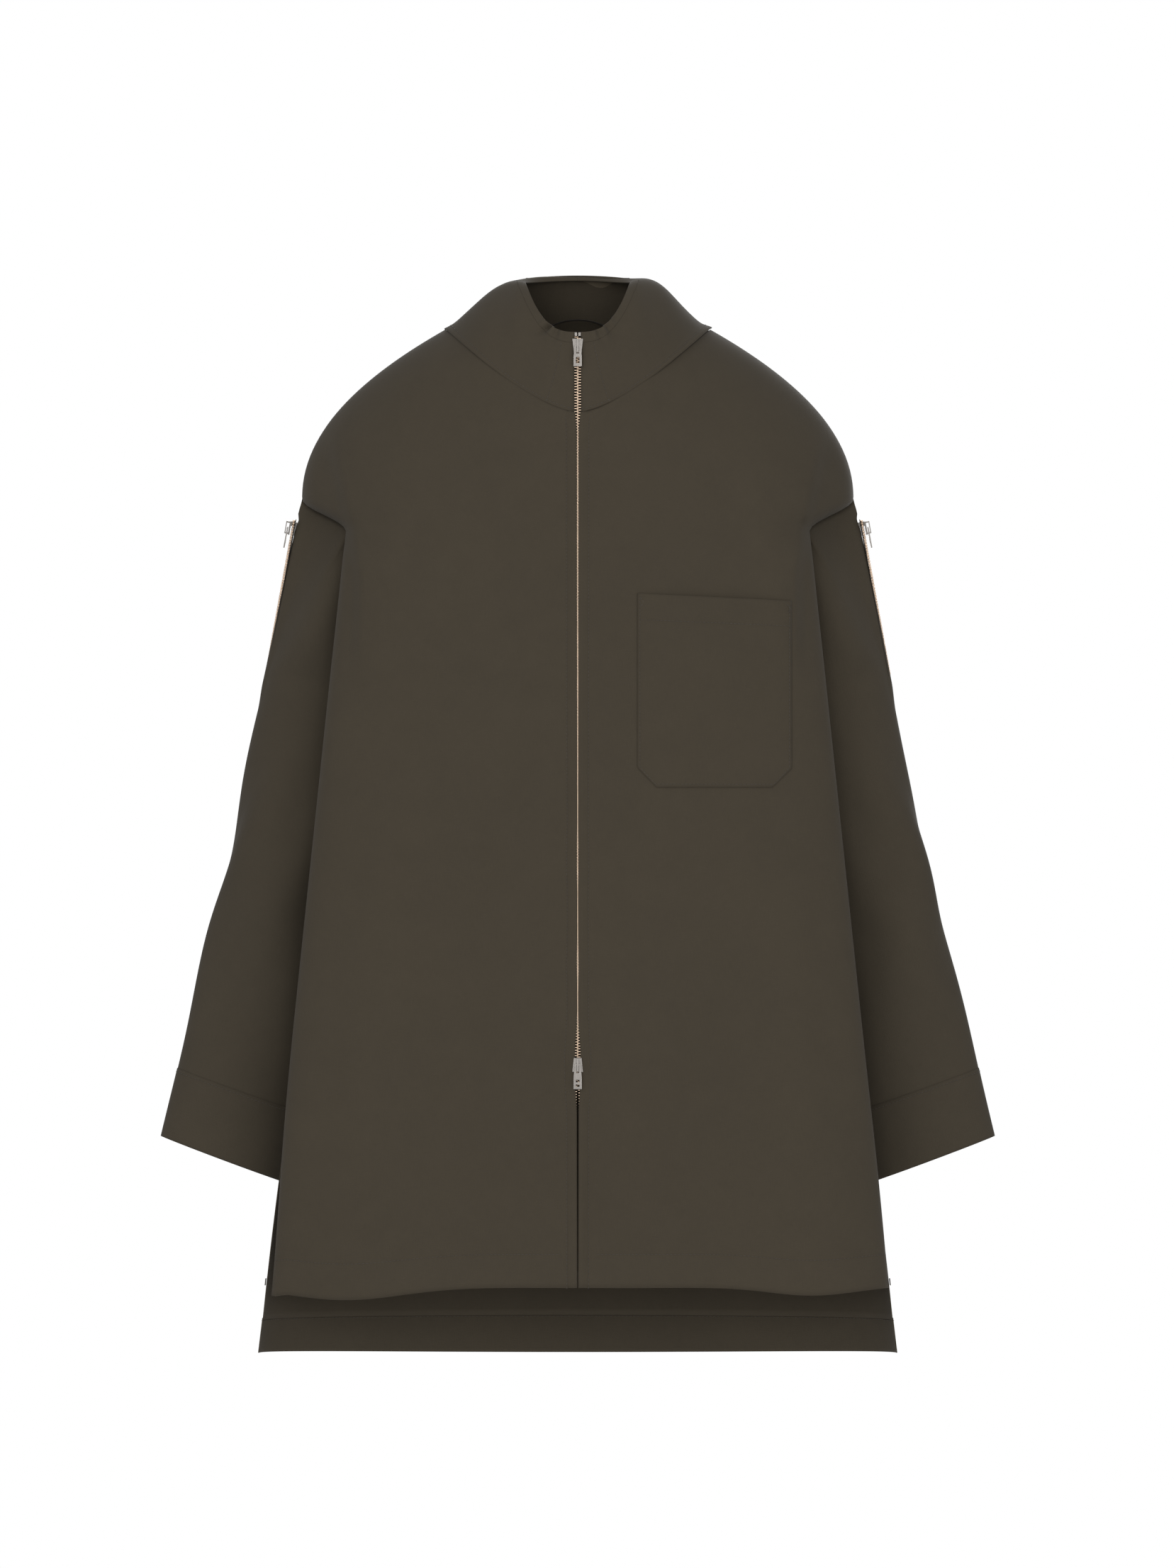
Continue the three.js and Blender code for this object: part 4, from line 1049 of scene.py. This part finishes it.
class JACKET_OT_pocket(JacketPiece, bpy.types.Operator):
    """Chest patch pocket with a turned mouth, its topstitching and bar tacks"""

    bl_idname = "jacket.pocket"
    bl_label = "Pocket"

    def execute(self, context):
        points = self.grid(0.0, 1.0, 60, 4.2)
        pocket = cloth_sheet("pocket_cloth", points, self.finish("cloth"))
        # The pocket band takes the lightened lining: painted light on the pocket's mouth.
        band = cloth_sheet("pocket_band_cloth", self.grid(0.0, 0.13, 10, 3.2), self.finish("lining"))
        for piece, node in ((pocket, "chest_pocket"), (band, "pocket_band")):
            self.wear(piece, node, "shell_cloth")
        normal = outer_normals(points)
        trail = [points[1:-2, 1], points[-2, 1:-1], points[-2:0:-1, -2]]
        up = [normal[1:-2, 1], normal[-2, 1:-1], normal[-2:0:-1, -2]]
        paths = [(np.concatenate(trail), np.concatenate(up)), (points[8, 1:-1], normal[8, 1:-1])]
        for column in (1, -3):
            corner = points[1, column] + np.array([[0.0, 0, 0], [3.2, 0, -5.0], [0.4, 0, -9.0]])
            paths.append((corner, np.repeat(normal[1, column][None], 3, 0)))
        stitches("pocket_stitching", paths, self.finish("thread"), "torso")
        return {"FINISHED"}

    def grid(self, first, last, rows, lift):
        """Patch on the front's surface: lies flat at its sewn edges and stands off at the mouth."""
        low, high = POCKET_LOW, POCKET_HIGH
        v = np.linspace(first, last, rows)[:, None]
        u = np.linspace(0, 1, 60)[None]
        z = high[2] + (low[2] - high[2]) * v
        inset = np.clip(17.0 - (z - low[2]), 0, None)
        x = low[0] + inset + (high[0] - low[0] - 2 * inset) * u
        power = 2 / FRONT_POWER
        share = x / body_half(z)
        y = FOLD_Y - (FOLD_Y - FRONT_Y) * (1 - share ** power) ** (1 / power)
        puff = np.sin(np.pi * u) ** 0.6 * (1 - v ** 2.5)
        slope = 6.4 * (u - 0.5) * (1 - v)
        points = np.stack([x, y - 0.9 - lift * 0.6 * puff, z - slope], -1)
        surface = folds(points, FRONT_FOLDS) * self.cloth.drape
        points[..., 1] -= surface
        return points


class JACKET_OT_zips(JacketPiece, bpy.types.Operator):
    """Front and sleeve zips: woven tapes, interlocking metal teeth, sliders and pulls"""

    bl_idname = "jacket.zips"
    bl_label = "Zips"

    def execute(self, context):
        slider_z = node_box("lower_slider")[0][2]
        for label, side in SIDES:
            low, high = node_box(f"zip_tape_{label}")
            top = np.array([0.0, FRONT_Y, high[2]])
            bottom = np.array([0.0, FRONT_Y, low[2]])
            split = (high[2] - slider_z) / (high[2] - low[2])
            tape, teeth = self.chain(f"front_{label}", side, top, bottom, (1, 0, 0), (0, -1, 0), split)
            for piece in (tape, teeth):
                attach(piece, "torso")
            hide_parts(f"zip_tape_{label}")
        for label, side in SIDES:
            for place, row in (("front", -1.0), ("back", 1.0)):
                self.sleeve_chain(label, side, place, row)
        metal = ["upper_slider", "upper_pull", "lower_slider", "lower_pull"]
        for label, _ in SIDES:
            metal += [f"top_stop_{label}", f"bottom_pin_{label}"]
            metal += [f"sleeve_{label}_slider", f"sleeve_{label}_pull"]
        for name in metal:
            mesh = bpy.data.objects[name].data
            mesh.materials.clear()
            mesh.materials.append(self.finish("metal"))
        return {"FINISHED"}

    def sleeve_chain(self, label, side, place, row):
        """Chain down the sleeve's outer seam, through the middle of its slider."""
        middles = [sum(node_box(node)) / 2 for node in (
            f"sleeve_{label}_slider", f"sleeve_zip_front_{label}", f"sleeve_zip_back_{label}")]
        outside = np.array([side * 0.98, 0.0, 0.19])
        start = middles[0] - outside * 0.35
        run = (middles[1] + middles[2]) / 2 + outside * 1.35 - start
        run /= np.linalg.norm(run)
        across = np.array([0.0, 1.0, 0.0]) - run * run[1]
        across /= np.linalg.norm(across)
        out = np.cross(run, across) * side
        top = start - run * SLIDER_DROP
        bottom = top + run * SLEEVE_ZIP_LENGTH
        name = f"sleeve_{place}_{label}"
        tape, teeth = self.chain(name, row, top, bottom, across, out, 1.2)
        for piece in (tape, teeth):
            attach(piece, f"arm_{label}")
        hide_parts(f"sleeve_zip_{place}_{label}")

    def chain(self, name, side, top, bottom, across, out, split):
        """Tape as a thin ribbon and teeth as tapered blocks that cross the centre line by turns."""
        across, out = np.array(across, float), np.array(out, float)
        length = np.linalg.norm(bottom - top)
        run = (bottom - top) / length
        along = np.linspace(0, length, int(length / 6) + 2)
        part = 1.6 * ease((along - split * length) / 26)
        width = np.array([0.6, 3.0, 6.0, 9.0])
        points = (top + run * along[:, None, None] + across * side * (width[None] + part[:, None])[..., None]
                  - out * 2.2)
        tape = cloth_sheet(f"{name}_tape", points, self.finish("tape"), middle=tuple(top - out * 60),
                           thickness=0.0006, bound=True)
        return tape, self.teeth(name, side, top, run, across, out, length, split)

    def teeth(self, name, side, top, run, across, out, length, split):
        """Blocks of two 5 by 4 grids and the wall between them, repeated along the chain by array."""
        count = int(length / TOOTH_PITCH)
        start = TOOTH_PITCH * (0.5 + 0.25 * side)
        along = start + np.arange(count) * TOOTH_PITCH
        shift = 1.6 * ease((along - split * length) / 26)
        reach = self.zips.tooth_width / MM
        profile = np.array([(-0.8, 0.55), (-0.2, 0.85), (0.9, 0.6), (reach - 0.4, 0.75), (reach, 0.6)])
        rise = np.array([(-1.25, 0.75), (-0.75, 1.0), (0.75, 1.0), (1.25, 0.75)])
        a, b = np.meshgrid(np.arange(5), np.arange(4), indexing="ij")
        sheet = [profile[a, 0], rise[b, 0], profile[a, 1] * rise[b, 1]]
        block = []
        for way in (-1, 1):
            block.append(np.stack([sheet[0], sheet[1], way * 0.62 * sheet[2]], -1).reshape(-1, 3))
        block = np.concatenate(block)
        quads = grid_faces(5, 4, False)
        rim = [0, 1, 2, 3, 7, 11, 15, 19, 18, 17, 16, 12, 8, 4]
        wall = [[rim[k], rim[(k + 1) % 14], rim[(k + 1) % 14] + 20, rim[k] + 20] for k in range(14)]
        faces = np.concatenate([quads, quads[:, ::-1] + 20, np.array(wall)[:, ::-1]])
        centre = top + run * along[:, None] + across * side * shift[:, None] - out * 1.3
        points = (centre[:, None] + across * side * block[None, :, :1] + out * block[None, :, 1:2]
                  + run * block[None, :, 2:])
        faces = (faces[None] + (np.arange(count) * len(block))[:, None, None]).reshape(-1, 4)
        handed = np.dot(np.cross(across * side, out), run)
        if handed > 0:
            faces = faces[:, ::-1]
        obj = to_mesh(f"{name}_teeth", points, faces, self.finish("teeth"))
        return obj


class JACKET_OT_neck(JacketPiece, bpy.types.Operator):
    """Neck tape and hanger loop inside the back neck"""

    bl_idname = "jacket.neck"
    bl_label = "Neck tape and loop"

    def execute(self, context):
        low, high = node_box("neck_tape")
        turn = np.radians(np.linspace(-62, 62, 60))[None]
        z = np.linspace(high[2], low[2], 6)[:, None]
        x = (high[0] - low[0]) / 2 / np.sin(np.radians(62)) * np.sin(turn)
        y = RIDGE_Y + (high[1] - RIDGE_Y) * np.cos(turn)
        points = np.stack(np.broadcast_arrays(x, y, z), -1).copy()
        tape = cloth_sheet("neck_tape_cloth", points, self.finish("tape"), bound=True)
        self.wear(tape, "neck_tape", "inner_cloth")
        loop = self.strap()
        self.wear(loop, "hanger_loop", "zip_tape")
        return {"FINISHED"}

    def strap(self):
        """Strap: a flat oval section carried along an arch between its two sewn ends."""
        low, high = node_box("hanger_loop")
        share = np.linspace(-1, 1, 60)
        x = (high[0] - 2.8) * np.sin(share * np.pi / 2)
        z = low[2] + 2 + (high[2] - low[2] - 3.2) * np.cos(share * np.pi / 2) ** 0.8
        y = -3.5 - 4.0 * np.cos(share * np.pi / 2)
        centre = np.stack([x, y, z], -1)
        run = np.gradient(centre, axis=0)
        run /= np.linalg.norm(run, axis=1, keepdims=True)
        wide = np.cross(run, np.cross(np.array([0, 1.0, 0]), run))
        wide /= np.linalg.norm(wide, axis=1, keepdims=True)
        thin = np.cross(run, wide)
        turn = (np.arange(16) * np.pi / 8)[None, :, None]
        points = (centre[:, None] + wide[:, None] * 2.9 * np.sign(np.cos(turn)) * np.abs(np.cos(turn)) ** 0.6
                  + thin[:, None] * 0.7 * np.sin(turn))
        faces = grid_faces(60, 16, True)
        ends = [list(range(15, -1, -1)), [59 * 16 + k for k in range(16)]]
        return to_mesh("hanger_strap", points, faces.tolist() + ends, self.finish("tape"),
                       cloth_lengths(points))


PIECES = (JACKET_OT_stage, JACKET_OT_fronts, JACKET_OT_back, JACKET_OT_sleeves, JACKET_OT_hood,
          JACKET_OT_pocket, JACKET_OT_zips, JACKET_OT_neck)


class JACKET_PT_panel(bpy.types.Panel):
    """Lists the jacket's sizes, colours and pieces"""

    bl_idname = "JACKET_PT_panel"
    bl_label = "Work Jacket"
    bl_space_type = "VIEW_3D"
    bl_region_type = "UI"
    bl_category = "Jacket"

    def draw(self, context):
        for settings in (context.scene.jacket_cloth, context.scene.jacket_zip):
            for name in settings.__annotations__:
                self.layout.prop(settings, name)
        for piece in PIECES:
            self.layout.operator(piece.bl_idname)


CLASSES = (JacketClothSettings, JacketZipSettings, *PIECES, JACKET_PT_panel)


def register():
    for item in CLASSES:
        bpy.utils.register_class(item)
    bpy.types.Scene.jacket_cloth = bpy.props.PointerProperty(type=JacketClothSettings)
    bpy.types.Scene.jacket_zip = bpy.props.PointerProperty(type=JacketZipSettings)


def unregister():
    del bpy.types.Scene.jacket_zip
    del bpy.types.Scene.jacket_cloth
    for item in reversed(CLASSES):
        bpy.utils.unregister_class(item)


def main():
    """Registers the add-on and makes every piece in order."""
    register()
    for piece in PIECES:
        group, name = piece.bl_idname.split(".")
        getattr(getattr(bpy.ops, group), name)()


if __name__ == "__main__":
    main()
